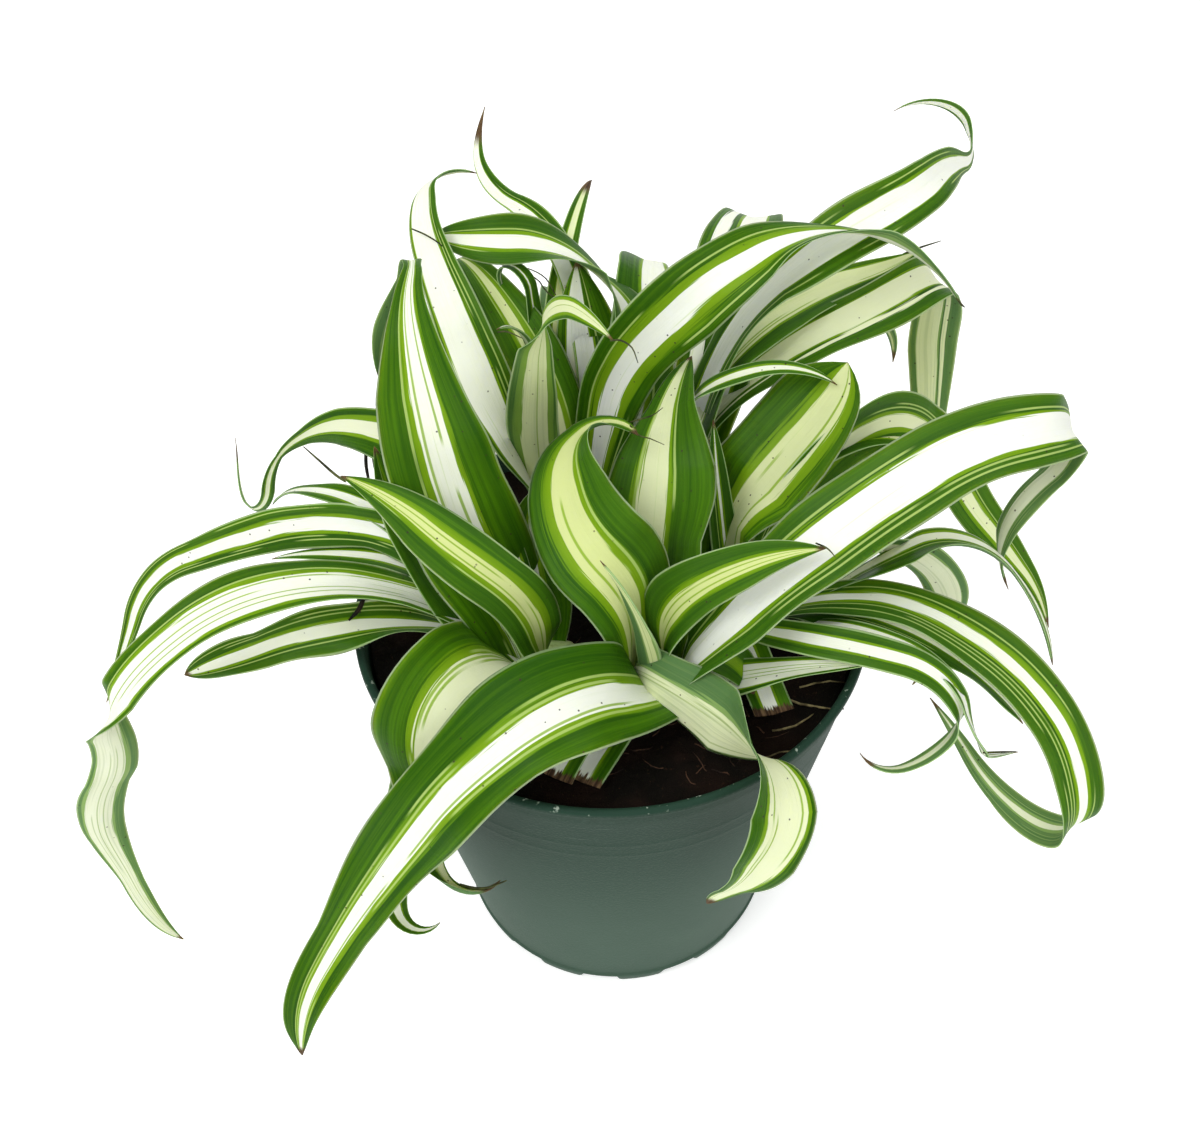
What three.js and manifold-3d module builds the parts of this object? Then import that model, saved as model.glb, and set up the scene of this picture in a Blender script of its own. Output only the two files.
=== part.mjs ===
// A spider plant in a round nursery pot: five leafy crowns of long striped blades,
// each standing in a plain hole in the soil. Millimetres, +Z up, origin under the pot.
import * as THREE from 'three';
import { mergeVertices } from 'three/addons/utils/BufferGeometryUtils.js';
import Module from 'manifold-3d';

const wasm = await Module();
wasm.setup();

// ---- driving dimensions -------------------------------------------------------
const GAP = 0.3;                  // clearance between pieces that touch

const POT_HEIGHT = 102;
const RIM_RADIUS = 57.5;
const LIP_HEIGHT = 4;
const LIP_PROUD = 1.2;            // how far the lip stands out of the wall
const BASE_RADIUS = 39;
const WALL = 1.3;
const FLOOR = 1.8;
const FOOT_BAND = 3.6;            // height of the slightly proud band round the foot
const FOOT_PROUD = 0.5;
const EDGE = 0.5;                 // how far the pot's edges are broken
const POT_SIDES = 60;
const DRAIN_COUNT = 12;
const DRAIN_WIDTH = 10;
const DRAIN_HEIGHT = 3;
const DRAIN_DEPTH = 3.4;
const DRAIN_START = -128;         // degrees, first drain notch

const SOIL_TOP = 96.2;            // mean level of the soil
const SOIL_RELIEF = 0.7;          // its unevenness
const SOIL_RINGS = [14, 28, 41];  // radii of its inner rings of points
const SOIL_EDGE = 1;              // level margin beside the wall
const BROAD_WAVE = [0.21, 0.17];  // radians a millimetre along X and Y
const FINE_WAVE = [0.47, 0.39];
const FINE_SHARE = 0.6;           // height of the fine wave, per broad wave

const ROOT_LEVEL = 97.3;          // where the blades start on their crown
const ROOT_OFFSET = 5;            // from the crown's centre to a blade's root
const CROWN_RADIUS = 8;
const CROWN_TIP_RADIUS = 5;
const CROWN_BOTTOM = 84;
const CROWN_TOP = 101.5;
const CROWN_SHOULDER = 98.8;      // above it the crown narrows to its tip
const CROWN_TAPER = [2, 5];       // in and up, round the bottom edge
const CROWN_SIDES = 16;

const BLADE_THICKNESS = 0.8;
const BLADE_STEP = 12;            // about this far between two cross-sections
const MIN_SECTIONS = 5;
const STEPS_PER_SECTION = 8;      // steps that steer the rib from one section to the next
const CHANNEL = 0.22;             // how deep the blade is channelled, per half width
const BASE_WIDTH = 0.5;           // width at the root, per full width
const SWELL_END = 0.35;           // share of the length where the full width is reached
const TIP_POWER = 3;              // higher keeps the blade broad for longer
const TIP_ROUND = 0.9;            // under 1 rounds the tip
const TIP_HALF_WIDTH = 0.35;

const GREEN = { color: 0x5f9a3c, roughness: 0.45, metalness: 0 };
const POT_GREEN = { color: 0x51705c, roughness: 0.6, metalness: 0 };
const SOIL_BROWN = { color: 0x2a1f19, roughness: 0.95, metalness: 0 };

// ---- the crowns and their blades ----------------------------------------------
// A blade leaves the crown's centre along its first heading and is steered like a
// vehicle: heading (degrees, 0 = +X, 90 = +Y) and pitch (90 = straight up) are given
// at evenly spaced places from root to tip, twist turns the blade on its rib and girth
// scales its width.
const CROWNS = [
  { name: 'crown_front', x: 9, y: -20, blades: [
    { name: 'front_left_long', length: 150, width: 19.5, base: 0.8, tip: 6,
      girth: [1.1, 1.15, 0.9, 0.7, 0.8], twist: [-20, -35, -25, -45, -55, -45, -20],
      heading: [-95, -145, -155, -165, -160, -140, -115], pitch: [65, 35, -25, -55, -55, -50, -85] },
    { name: 'front_right_folded', length: 96, width: 17.5, base: 0.8, girth: [0.65, 0.75, 1.05, 1.2, 1.05],
      twist: [-110, -115, -125, -120, -55, -25, -90, -125, -115],
      heading: [-150, -70, -35, -50, -55, -90, -175, -205, -230],
      pitch: [105, 45, -10, 0, 0, -45, -70, -55, -70] },
    { name: 'centre_curled', length: 81, width: 24, base: 0.6, girth: [1, 0.95, 1.05, 1, 1.05],
      twist: [-5, -10, -20, -40, -30, -40, -5],
      heading: [180, 160, 160, 155, 115, 90, 40, -55], pitch: [90, 95, 85, 50, 20, 25, 5, -15] },
    { name: 'young_right', length: 64, width: 14, girth: [1, 0.95, 1, 1.05, 1],
      twist: [30, 45, 65, 60, 50],
      heading: [-55, -30, -15, -5, -5], pitch: [100, 95, 55, 30, 5] },
    { name: 'young_centre', length: 57, width: 6,
      heading: [-100, -130, -150], pitch: [80, 75, 65] },
    { name: 'centre_upright', length: 74, width: 26.5, tip: 2.6, girth: [1, 1, 1.1, 1, 0.95],
      twist: [-20, -25, -30, -5, -25, -20],
      heading: [90, 80, 80, 85, 75, 65], pitch: [85, 65, 45, 30, 20, 5] },
    { name: 'right_great', length: 160, width: 17.5, base: 0.9, girth: [0.9, 1, 1.1, 0.95, 0.85],
      twist: [0, 0, 20, 20, 50, 10, -15],
      heading: [-60, -5, 20, 15, 15, 15, 15, 45, 30, 25, -35],
      pitch: [75, 60, 45, 40, 35, 25, 0, -35, -160, -90, -60] },
    { name: 'front_right_low', length: 44, width: 9.5, twist: [5, 10, 0, -10],
      heading: [-30, -15, -15, -10], pitch: [35, 30, 25, 10] },
    { name: 'cut_front', length: 27, width: 10, cut: true,
      heading: [-125, -120, -120], pitch: [20, 0, -10] },
    { name: 'cut_front_left', length: 32, width: 10, cut: true,
      heading: [-140, -125, -120], pitch: [35, 5, -15] },
    { name: 'front_shoulder', length: 26, width: 12, base: 0.9, tip: 5,
      heading: [5, -20, -40, -60], pitch: [80, 45, -5, -60] },
  ] },
  { name: 'crown_left', x: -14, y: -16, blades: [
    { name: 'front_left_broad', length: 100, width: 25, base: 0.9, tip: 2,
      girth: [1.05, 1.1, 0.95, 0.85, 0.95], twist: [5, 5, -35, -30, -25, -45, -50],
      heading: [-125, -130, -135, -130, -140, -115, -50, 45],
      pitch: [70, 55, 20, -60, -95, -75, -30, 20] },
    { name: 'front_left_hooked', length: 92, width: 12,
      heading: [-135, -135, -130, -135, -120, 30], pitch: [60, 20, -50, -70, -75, 40] },
    { name: 'left_pointed', length: 76, width: 15, base: 0.7, girth: [0.95, 0.85, 0.95, 1.1, 1],
      twist: [-40, -65, -65, -30, -5],
      heading: [-95, -165, -180, -210, -210], pitch: [85, 85, 50, 30, 0] },
    { name: 'left_tall', length: 138, width: 22.5, base: 0.8, tip: 2.2,
      girth: [1.1, 1.15, 1.15, 1.15, 1.1, 1.05, 0.7, 0.25, 0.5, 1.4, 2.2],
      twist: [-10, -15, -30, -40, -20, 35, 80],
      heading: [150, 155, 145, 140, 125, 105, 85, 115, 180, 215],
      pitch: [75, 70, 65, 75, 80, 65, 15, -65, -65, -75] },
    { name: 'left_back_hooked', length: 162, width: 12,
      girth: [0.6, 0.6, 0.65, 0.75, 0.9, 1, 0.8, 0.4, 0.2, 0.45, 0.4, 0.3, 0.5],
      twist: [-20, -25, -40, -65, -120, -120, -95],
      heading: [120, 120, 140, 145, 145, 155, 155, 120, 75],
      pitch: [90, 65, 35, 0, -25, -45, -75, -15, 85] },
    { name: 'left_upper_arch', length: 153, width: 10.5, base: 0.8, girth: [1, 1, 1.05, 0.9, 0.95],
      twist: [-20, -35, -75, -55, -55, -70, -50],
      heading: [145, 155, 155, 170, 170, 200, 235], pitch: [75, 35, -10, -25, -30, -65, -50] },
    { name: 'left_long_drop', length: 202, width: 14, base: 0.8, tip: 5, girth: [1, 1, 0.65, 0.95, 1.2],
      twist: [10, 15, -10, -40, 65, 55, 10],
      heading: [165, 170, 190, 200, 205, 190, 135, 180, 160, 125, 150],
      pitch: [60, 30, 25, 5, -25, -55, -80, -60, -80, -120, -185] },
    { name: 'left_low', length: 80, width: 10, tip: 14, girth: [1, 1, 1.05, 0.95, 0.85],
      twist: [15, 25, -15, -65, -55],
      heading: [150, 185, 195, 185, 180], pitch: [25, 20, 10, -20, -25] },
    { name: 'left_behind', length: 90, width: 8,
      heading: [145, 150, 145, 135], pitch: [45, 40, -15, -55] },
    { name: 'left_between', length: 69, width: 8,
      heading: [150, 155, 165, 165], pitch: [60, 25, -5, -25] },
    { name: 'left_inner', length: 40, width: 14,
      heading: [90, 115, 100, 50], pitch: [80, 70, 55, 35] },
    { name: 'left_shaded', length: 62, width: 15.5, base: 0.8, girth: [1, 0.95, 1.05, 1.05, 1],
      twist: [15, 5, 0, 15],
      heading: [175, 145, 150, 115], pitch: [50, 45, 65, 75] },
  ] },
  { name: 'crown_back_left', x: -9, y: 28, blades: [
    { name: 'back_left_loop', length: 109, width: 13, base: 0.9, girth: [1, 1, 1.05, 1, 1],
      twist: [0, 0, 0, -30, -35, -20, -60],
      heading: [200, 190, 155, 125, 115, 110, 85, -15], pitch: [80, 75, 70, 60, 35, 30, 10, -10] },
    { name: 'back_left_hooked', length: 121, width: 8.5, base: 0.7, girth: [1, 1, 1, 0.95, 0.95],
      twist: [0, 0, 0, -5, -15, -15, -10],
      heading: [45, 70, 95, 110, 120, 130, 105, 65], pitch: [70, 75, 65, 50, 20, -5, 10, 45] },
    { name: 'back_left_level', length: 109, width: 18, tip: 4, girth: [1, 1, 1, 1.1, 1.15],
      twist: [15, 20, 25, 45, -25, -90],
      heading: [0, 35, 90, 150, 190, 115], pitch: [65, 70, 65, 35, 10, -30] },
    { name: 'back_dry_tip', length: 97, width: 7, twist: [5, 5, 15, 15],
      heading: [105, 90, 75, 80], pitch: [90, 65, 30, -25] },
    { name: 'back_left_narrow', length: 84, width: 15, girth: [1, 1, 1.05, 1.05, 1],
      twist: [-5, -5, -10, -15, -10],
      heading: [105, 125, 135, 120, 115], pitch: [100, 85, 60, 15, -30] },
    { name: 'back_upright', length: 63, width: 20, tip: 4,
      heading: [45, 90, 105, 105], pitch: [65, 70, 70, 70] },
    { name: 'back_folded', length: 98, width: 14, base: 0.9, tip: 6, girth: [1, 1, 1.05, 1, 1],
      twist: [0, 0, 0, 5, 25, 10, 5],
      heading: [10, 35, 55, 75, 90, 85, 80, 75], pitch: [65, 65, 65, 60, 30, -15, -50, -70] },
    { name: 'pale_curled', length: 100, width: 12, base: 0.8, girth: [1, 1.05, 0.95, 0.75, 1],
      twist: [0, 0, -5, -15, -20, 65, 45],
      heading: [-160, -130, -105, -80, -75, -75, -30, -55, -60],
      pitch: [75, 85, 85, 75, 70, 70, 70, 10, -5] },
    { name: 'back_right_arch', length: 137, width: 17, girth: [0.95, 0.9, 1.1, 0.95, 0.95],
      twist: [25, 45, 85, 75, 5, -50, -25],
      heading: [20, 25, 10, -5, 0, 25, -5, -15, -10], pitch: [85, 80, 80, 55, 45, 15, 5, -30, -60] },
    { name: 'back_left_sprout', length: 36, width: 6,
      heading: [150, 170, 175], pitch: [70, 70, 85] },
    { name: 'back_left_tip', length: 66, width: 6,
      heading: [-265, -220, -165, -130, -115], pitch: [55, 75, 90, 70, 20] },
    { name: 'back_left_dark', length: 78, width: 7,
      heading: [100, 105, 125, 140, 140], pitch: [80, 70, 75, 85, -165] },
    { name: 'back_hanging', length: 108, width: 13,
      heading: [85, 90, 95, 95, 95], pitch: [70, 35, 0, -45, -75] },
    { name: 'back_left_hanging', length: 98, width: 12,
      heading: [120, 120, 120, 125, 125], pitch: [65, 30, -5, -45, -70] },
  ] },
  { name: 'crown_back_right', x: 15, y: 31, blades: [
    { name: 'back_right_folded', length: 109, width: 18, base: 0.9, tip: 6, girth: [1, 1, 1.05, 1.05, 1],
      twist: [-5, -5, -5, -15, 0, 0, 0],
      heading: [30, 40, 60, 75, 75, 75, 75, 75], pitch: [80, 80, 65, 45, 20, -10, -40, -55] },
    { name: 'back_right_hooked', length: 175, width: 13, tip: 3.5,
      girth: [1, 1, 1, 1, 1.1, 1.1, 1.05, 0.8, 0.35, 0.75, 0.8], twist: [0, 0, 0, 5, 35, 45, 55, 95, 60],
      heading: [35, 35, 15, 5, 20, 60, 55, 95, 205], pitch: [90, 80, 65, 45, 20, -10, -25, 15, -20] },
    { name: 'right_back_slim', length: 101, width: 14.5, girth: [1, 1, 1.1, 1, 1],
      twist: [-5, -5, -10, 20, 20, 30],
      heading: [30, 35, 25, 30, 30, 40], pitch: [95, 80, 55, 10, -5, 0] },
    { name: 'right_back_dropped', length: 164, width: 14.5,
      girth: [0.95, 0.9, 0.85, 0.9, 0.95, 1, 1.35, 1.35, 1.2], twist: [-5, -5, 10, 35, 20, 10, 5],
      heading: [25, 10, 15, 15, 35, 65, 95, 85, 70], pitch: [100, 70, 35, 20, 5, -55, -115, -130, -135] },
    { name: 'right_twisted', length: 77, width: 7, girth: [1, 1, 0.95, 1, 1.05],
      twist: [10, 5, -5, 20, 40],
      heading: [-75, -60, -30, -5, -5], pitch: [95, 95, 65, 20, -40] },
    { name: 'right_back_curl', length: 95, width: 6, tip: 6, twist: [-5, -5, -5, -15, -20],
      heading: [35, 30, 30, 30, 30], pitch: [80, 55, 25, -25, -90] },
    { name: 'back_right_hanging', length: 104, width: 14,
      heading: [75, 75, 70, 65, 60], pitch: [65, 35, -5, -45, -70] },
  ] },
  { name: 'crown_right', x: 29, y: -3, blades: [
    { name: 'centre_dark', length: 44, width: 7,
      heading: [110, 105, 95], pitch: [75, 65, 60] },
    { name: 'right_broad', length: 64, width: 23, tip: 12, girth: [1, 1, 1.05, 1, 1],
      twist: [-20, -25, -30, 10, 15, 10, 10],
      heading: [125, 90, 55, 30, 30, 30, 30, 40], pitch: [75, 70, 60, 50, 40, 40, 50, 60] },
    { name: 'right_far', length: 143, width: 14, girth: [1, 0.95, 0.95, 1.1, 1],
      twist: [45, 55, 75, 45, 70, 70, 75],
      heading: [55, 40, 35, 30, 20, -5, -15, -20, -55],
      pitch: [80, 60, 40, -5, -50, -65, -50, -50, -65] },
    { name: 'right_filament', length: 84, width: 12.5, girth: [1, 1, 1.05, 0.95, 0.95],
      twist: [-15, -25, -15, -45, -35],
      heading: [-10, -15, -5, -45, -65], pitch: [30, 50, 35, -35, -60] },
    { name: 'right_front_loop', length: 150, width: 13, girth: [0.95, 0.95, 0.95, 0.95, 0.95],
      twist: [0, 5, 10, 20, 0, -60, -40],
      heading: [-40, -25, -15, -30, -45, -60, -75, -60, -50, -55, -40],
      pitch: [70, 40, 10, -10, -10, -20, -50, -115, -185, -215, -220] },
    { name: 'right_front_curled', length: 104, width: 7.5, girth: [1, 1, 1, 0.85, 0.95],
      twist: [10, 20, 35, 40, 45, 0, 0],
      heading: [-100, -70, -40, -25, -15, -20, 15, 20, -15],
      pitch: [55, 50, 25, 10, -10, -55, -105, -180, -240] },
    { name: 'right_thin', length: 101, width: 4,
      heading: [-40, -45, -40, -35, 55, 25], pitch: [45, 35, 10, -70, -60, -20] },
    { name: 'right_front_wavy', length: 70, width: 9,
      heading: [-30, -30, -30, -25], pitch: [60, 15, -20, -50] },
    { name: 'right_drooping', length: 95, width: 12, girth: [1, 1, 1, 1.1, 1.05],
      twist: [-20, -35, -70, -75, -45],
      heading: [-10, 0, 5, 20, 20], pitch: [95, 30, -40, -85, -125] },
    { name: 'right_under', length: 74, width: 9,
      heading: [75, 50, 20, 10, 5], pitch: [75, 60, 30, -15, -65] },
    { name: 'cut_right', length: 27, width: 9, cut: true,
      heading: [-90, -80, -75], pitch: [35, 5, -10] },
  ] },
];

// ---- helpers -------------------------------------------------------------------
const radians = THREE.MathUtils.degToRad;

// A closed, merged copy of a geometry as a solid for joining and cutting.
function toSolid(geometry) {
  const bare = new THREE.BufferGeometry();
  bare.setAttribute('position', geometry.getAttribute('position').clone());
  if (geometry.index) bare.setIndex(geometry.index.clone());
  const merged = mergeVertices(bare, 1e-4);
  const corners = merged.index.array;
  const triangles = [];
  for (let i = 0; i < corners.length; i += 3) {
    const [a, b, c] = [corners[i], corners[i + 1], corners[i + 2]];
    if (a !== b && b !== c && c !== a) triangles.push(a, b, c);
  }
  return new wasm.Manifold(new wasm.Mesh({
    numProp: 3,
    vertProperties: new Float32Array(merged.getAttribute('position').array),
    triVerts: new Uint32Array(triangles),
  }));
}

function toGeometry(solid) {
  const mesh = solid.getMesh();
  const geometry = new THREE.BufferGeometry();
  geometry.setAttribute('position', new THREE.BufferAttribute(mesh.vertProperties, 3));
  geometry.setIndex(new THREE.BufferAttribute(mesh.triVerts, 1));
  geometry.computeVertexNormals();
  return geometry;
}

function toMesh(name, solid, look) {
  const mesh = new THREE.Mesh(toGeometry(solid), new THREE.MeshStandardMaterial(look));
  mesh.name = name;
  return mesh;
}

// A turned solid about Z from [radius, height] pairs.
function turned(profile, sides) {
  const points = profile.map(([radius, height]) => new THREE.Vector2(radius, height));
  const geometry = new THREE.LatheGeometry(points, sides);
  geometry.rotateX(Math.PI / 2);
  return geometry;
}

// The value of an evenly spaced list at t in 0..1, straight between its entries.
function along(list, t) {
  const place = t * (list.length - 1);
  const i = Math.min(Math.floor(place), list.length - 2);
  return THREE.MathUtils.lerp(list[i], list[i + 1], place - i);
}

// ---- the pot -------------------------------------------------------------------
function wallRadius(height) {
  const top = RIM_RADIUS - LIP_PROUD;
  return BASE_RADIUS + (top - BASE_RADIUS) * height / (POT_HEIGHT - LIP_HEIGHT);
}

function potProfile() {
  const lipBottom = POT_HEIGHT - LIP_HEIGHT;
  return [
    [0, 0],
    [BASE_RADIUS + FOOT_PROUD - EDGE, 0],
    [BASE_RADIUS + FOOT_PROUD, EDGE],
    [wallRadius(FOOT_BAND) + FOOT_PROUD, FOOT_BAND],
    [wallRadius(FOOT_BAND + EDGE), FOOT_BAND + EDGE],
    [wallRadius(lipBottom), lipBottom],
    [RIM_RADIUS - EDGE, lipBottom],
    [RIM_RADIUS, lipBottom + EDGE],
    [RIM_RADIUS, POT_HEIGHT - EDGE],
    [RIM_RADIUS - EDGE, POT_HEIGHT],
    [wallRadius(lipBottom) - WALL + EDGE, POT_HEIGHT],
    [wallRadius(lipBottom) - WALL, POT_HEIGHT - EDGE],
    [wallRadius(lipBottom) - WALL, lipBottom],
    [wallRadius(FLOOR) - WALL, FLOOR],
    [0, FLOOR],
  ];
}

function pot() {
  let solid = toSolid(turned(potProfile(), POT_SIDES));
  for (let i = 0; i < DRAIN_COUNT; i += 1) {
    const notch = new THREE.BoxGeometry(2 * DRAIN_DEPTH, DRAIN_WIDTH, 2 * DRAIN_HEIGHT);
    notch.translate(BASE_RADIUS + FOOT_PROUD, 0, 0);
    notch.rotateZ(radians(DRAIN_START + 360 * i / DRAIN_COUNT));
    solid = solid.subtract(toSolid(notch));
  }
  return solid;
}

// ---- the soil ------------------------------------------------------------------
// The soil's height: a broad wave each way with a finer slanted one on it.
function soilLevel(x, y) {
  const broad = Math.cos(BROAD_WAVE[0] * x) * Math.cos(BROAD_WAVE[1] * y);
  const fine = FINE_SHARE * Math.sin(FINE_WAVE[0] * x - FINE_WAVE[1] * y);
  return SOIL_TOP + SOIL_RELIEF * (broad + fine) / (1 + FINE_SHARE);
}

// The filling of the pot with an uneven top and a plain hole for every crown.
function soil() {
  const innerTop = wallRadius(SOIL_TOP) - WALL - GAP;
  const innerBottom = wallRadius(FLOOR + GAP) - WALL - GAP;
  const profile = [[0, FLOOR + GAP], [innerBottom, FLOOR + GAP], [innerTop, SOIL_TOP]];
  for (const radius of [...SOIL_RINGS].reverse()) profile.push([radius, SOIL_TOP]);
  profile.push([0, SOIL_TOP]);
  const geometry = turned(profile, POT_SIDES / 2);
  const position = geometry.getAttribute('position');
  for (let i = 0; i < position.count; i += 1) {
    const [x, y] = [position.getX(i), position.getY(i)];
    const inside = Math.hypot(x, y) < innerTop - SOIL_EDGE;
    const onTop = position.getZ(i) > SOIL_TOP - SOIL_RELIEF;
    if (inside && onTop) position.setZ(i, soilLevel(x, y));
  }
  let solid = toSolid(geometry);
  for (const crown of CROWNS) solid = solid.subtract(crownHole(crown));
  return solid;
}

// ---- the crowns ----------------------------------------------------------------
// The short stout stem that a crown's blades grow from.
function crownCore(crown) {
  const [taperIn, taperUp] = CROWN_TAPER;
  const geometry = turned([
    [0, CROWN_BOTTOM],
    [CROWN_RADIUS - taperIn, CROWN_BOTTOM],
    [CROWN_RADIUS, CROWN_BOTTOM + taperUp],
    [CROWN_RADIUS, CROWN_SHOULDER],
    [CROWN_TIP_RADIUS, CROWN_TOP],
    [0, CROWN_TOP],
  ], CROWN_SIDES);
  geometry.translate(crown.x, crown.y, 0);
  return toSolid(geometry);
}

// The plain round hole in the soil that the stem stands in, open at the top.
function crownHole(crown) {
  const [radius, floor] = [CROWN_RADIUS + GAP, CROWN_BOTTOM - GAP];
  const geometry = turned([[0, floor], [radius, floor], [radius, POT_HEIGHT], [0, POT_HEIGHT]], CROWN_SIDES);
  geometry.translate(crown.x, crown.y, 0);
  return toSolid(geometry);
}

// Half the blade's width at t: swelling from the root, tapering to a fine tip.
function halfWidth(blade, t) {
  const base = blade.base ?? BASE_WIDTH;
  const swell = base + (1 - base) * THREE.MathUtils.smoothstep(t, 0, SWELL_END);
  const taper = blade.cut ? 1 : (1 - t ** (blade.tip ?? TIP_POWER)) ** TIP_ROUND;
  const girth = blade.girth ? along(blade.girth, t) : 1;
  return Math.max(TIP_HALF_WIDTH, blade.width / 2 * girth * swell * taper);
}

// One thin arched blade: a channelled section of six corners carried along its rib.
function bladeSolid(blade, crown) {
  const sections = Math.max(MIN_SECTIONS, Math.round(blade.length / BLADE_STEP), blade.heading.length + 2);
  const first = radians(blade.heading[0]);
  const spot = new THREE.Vector3(
    crown.x + ROOT_OFFSET * Math.cos(first), crown.y + ROOT_OFFSET * Math.sin(first), ROOT_LEVEL);
  const corners = [];
  for (let i = 0; i <= sections; i += 1) {
    const t = i / sections;
    const [, side, up] = bladeFrame(blade, t);
    const half = halfWidth(blade, t);
    const sink = CHANNEL * half;
    for (const [across, lift] of [[1, sink], [0, 0], [-1, sink]]) {
      for (const face of [0.5, -0.5]) {
        corners.push(spot.clone()
          .addScaledVector(side, across * half)
          .addScaledVector(up, lift + face * BLADE_THICKNESS));
      }
    }
    for (let k = 0; k < STEPS_PER_SECTION && i < sections; k += 1) {
      const [step] = bladeFrame(blade, (i + (k + 0.5) / STEPS_PER_SECTION) / sections);
      spot.addScaledVector(step, blade.length / sections / STEPS_PER_SECTION);
    }
  }
  return toSolid(stripGeometry(corners, sections));
}

// The rib's direction at t, with the blade's side and upper directions.
function bladeFrame(blade, t) {
  const heading = radians(along(blade.heading, t));
  const pitch = radians(along(blade.pitch, t));
  const twist = radians(blade.twist ? along(blade.twist, t) : 0);
  const tangent = new THREE.Vector3(
    Math.cos(pitch) * Math.cos(heading), Math.cos(pitch) * Math.sin(heading), Math.sin(pitch));
  const side = new THREE.Vector3(-Math.sin(heading), Math.cos(heading), 0);
  const up = tangent.clone().cross(side);
  side.applyAxisAngle(tangent, twist);
  up.applyAxisAngle(tangent, twist);
  return [tangent, side, up];
}

// Triangles over sections of six corners: left, middle and right, each top then bottom.
function stripGeometry(corners, sections) {
  const loop = [0, 2, 4, 5, 3, 1];
  const triangles = [];
  for (let i = 0; i < sections; i += 1) {
    for (let k = 0; k < loop.length; k += 1) {
      const a = 6 * i + loop[k];
      const b = 6 * i + loop[(k + 1) % loop.length];
      const [c, d] = [a + 6, b + 6];
      const below = k === 3 || k === 4;
      if (below) triangles.push(a, d, c, a, b, d);
      else triangles.push(a, b, c, b, d, c);
    }
  }
  const end = 6 * sections;
  for (const k of [0, 2]) {
    triangles.push(k, k + 1, k + 3, k, k + 3, k + 2);
    triangles.push(end + k, end + k + 3, end + k + 1, end + k, end + k + 2, end + k + 3);
  }
  const geometry = new THREE.BufferGeometry();
  const numbers = corners.flatMap((corner) => corner.toArray());
  geometry.setAttribute('position', new THREE.Float32BufferAttribute(numbers, 3));
  geometry.setIndex(triangles);
  return geometry;
}

// The crown's blades joined to its stem; a hollow that the joining seals is filled.
function crownSolid(crown) {
  const blades = crown.blades.map((blade) => bladeSolid(blade, crown));
  const joined = blades.reduce((solid, blade) => solid.add(blade), crownCore(crown));
  return joined.decompose().reduce((a, b) => (a.volume() > b.volume() ? a : b));
}

// ---- the plant -----------------------------------------------------------------
const plant = new THREE.Group();
plant.add(toMesh('pot', pot(), POT_GREEN));
plant.add(toMesh('soil', soil(), SOIL_BROWN));
for (const crown of CROWNS) plant.add(toMesh(crown.name, crownSolid(crown), GREEN));

export default plant;
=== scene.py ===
"""A potted spider plant: long striped leaves in five crowns, dark peat, a round nursery pot."""
import math

import bpy
import numpy as np
from mathutils import Matrix, Vector


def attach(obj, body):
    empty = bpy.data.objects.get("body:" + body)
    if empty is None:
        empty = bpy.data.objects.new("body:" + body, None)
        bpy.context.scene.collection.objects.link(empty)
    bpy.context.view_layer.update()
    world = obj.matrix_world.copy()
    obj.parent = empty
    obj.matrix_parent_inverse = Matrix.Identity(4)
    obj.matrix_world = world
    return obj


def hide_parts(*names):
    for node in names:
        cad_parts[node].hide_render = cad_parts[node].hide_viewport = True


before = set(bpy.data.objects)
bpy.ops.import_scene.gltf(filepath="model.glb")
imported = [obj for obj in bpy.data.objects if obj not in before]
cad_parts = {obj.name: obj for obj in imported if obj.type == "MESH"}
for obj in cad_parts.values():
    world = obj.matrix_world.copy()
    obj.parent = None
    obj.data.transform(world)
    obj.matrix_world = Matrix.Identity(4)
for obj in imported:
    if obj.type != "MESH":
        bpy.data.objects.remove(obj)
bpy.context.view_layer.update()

MM = 0.001
LEAF_SEED = 11
SOIL_SEED = 5
LITTER_SEED = 8

# ---- the camera, worked out from the ellipses of the pot's rim and foot ----
PHOTO_WIDTH = 1200                # pixels; its height is 1141
FOCAL_PIXELS = 1401
SENSOR = 36.0
CAMERA_SPOT = (-2.16, -213.4, 333.4)
CAMERA_DOWN = 46.14               # degrees below level
CAMERA_ROLL = -1.85
NEAREST = 0.01                    # metres, where the camera's view starts

# ---- the light -------------------------------------------
SKY = 0.42                        # strength of the white all round
FLOOR_GLOW = 0.42
FLOOR_REACH = 6.0                 # metres from its middle to its edges
LAMP_TARGET = (0, 0, 0.08)
LAMPS = (                         # name, place in metres, size in metres, power in watts
    ("key", (-0.5, -0.45, 0.95), 0.5, 6.0),
    ("top", (0.25, 0.3, 1.1), 0.6, 3.0),
    ("front", (0.25, -0.85, 0.75), 0.7, 3.6),
    ("back", (0.2, 0.95, 0.45), 0.7, 1.8),
)

# ---- the pot and the soil, the part's own sizes in millimetres ----
POT_HEIGHT = 102
RIM_RADIUS = 57.5
LIP_HEIGHT = 4
LIP_PROUD = 1.2
BASE_RADIUS = 39
WALL = 1.3
FLOOR = 1.8
FOOT_BAND = 3.6
FOOT_PROUD = 0.5
FOOT_RING = 4.4                   # width of the flat ring that the pot stands on
FOOT_LIFT = 0.6                   # height of the underside inside that ring
DRAIN_COUNT = 12
DRAIN_WIDTH = 10
DRAIN_HEIGHT = 3
DRAIN_RISE = 0.8                  # share of DRAIN_HEIGHT that a notch rises
DRAIN_SLOPE = 0.8                 # width of the slope at each side of a notch
DRAIN_START = -128
SCORE_LEVELS = (80, 85)           # heights of the fine raised lines round the wall
SCORE_PROUD = 0.035
SCORE_SECTION = ((-2, 0), (-0.4, 0), (-0.15, 1), (0.15, 1), (0.4, 0), (2, 0))   # height, share
POT_STEPS = 360
SOIL_TOP = 96.2
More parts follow.
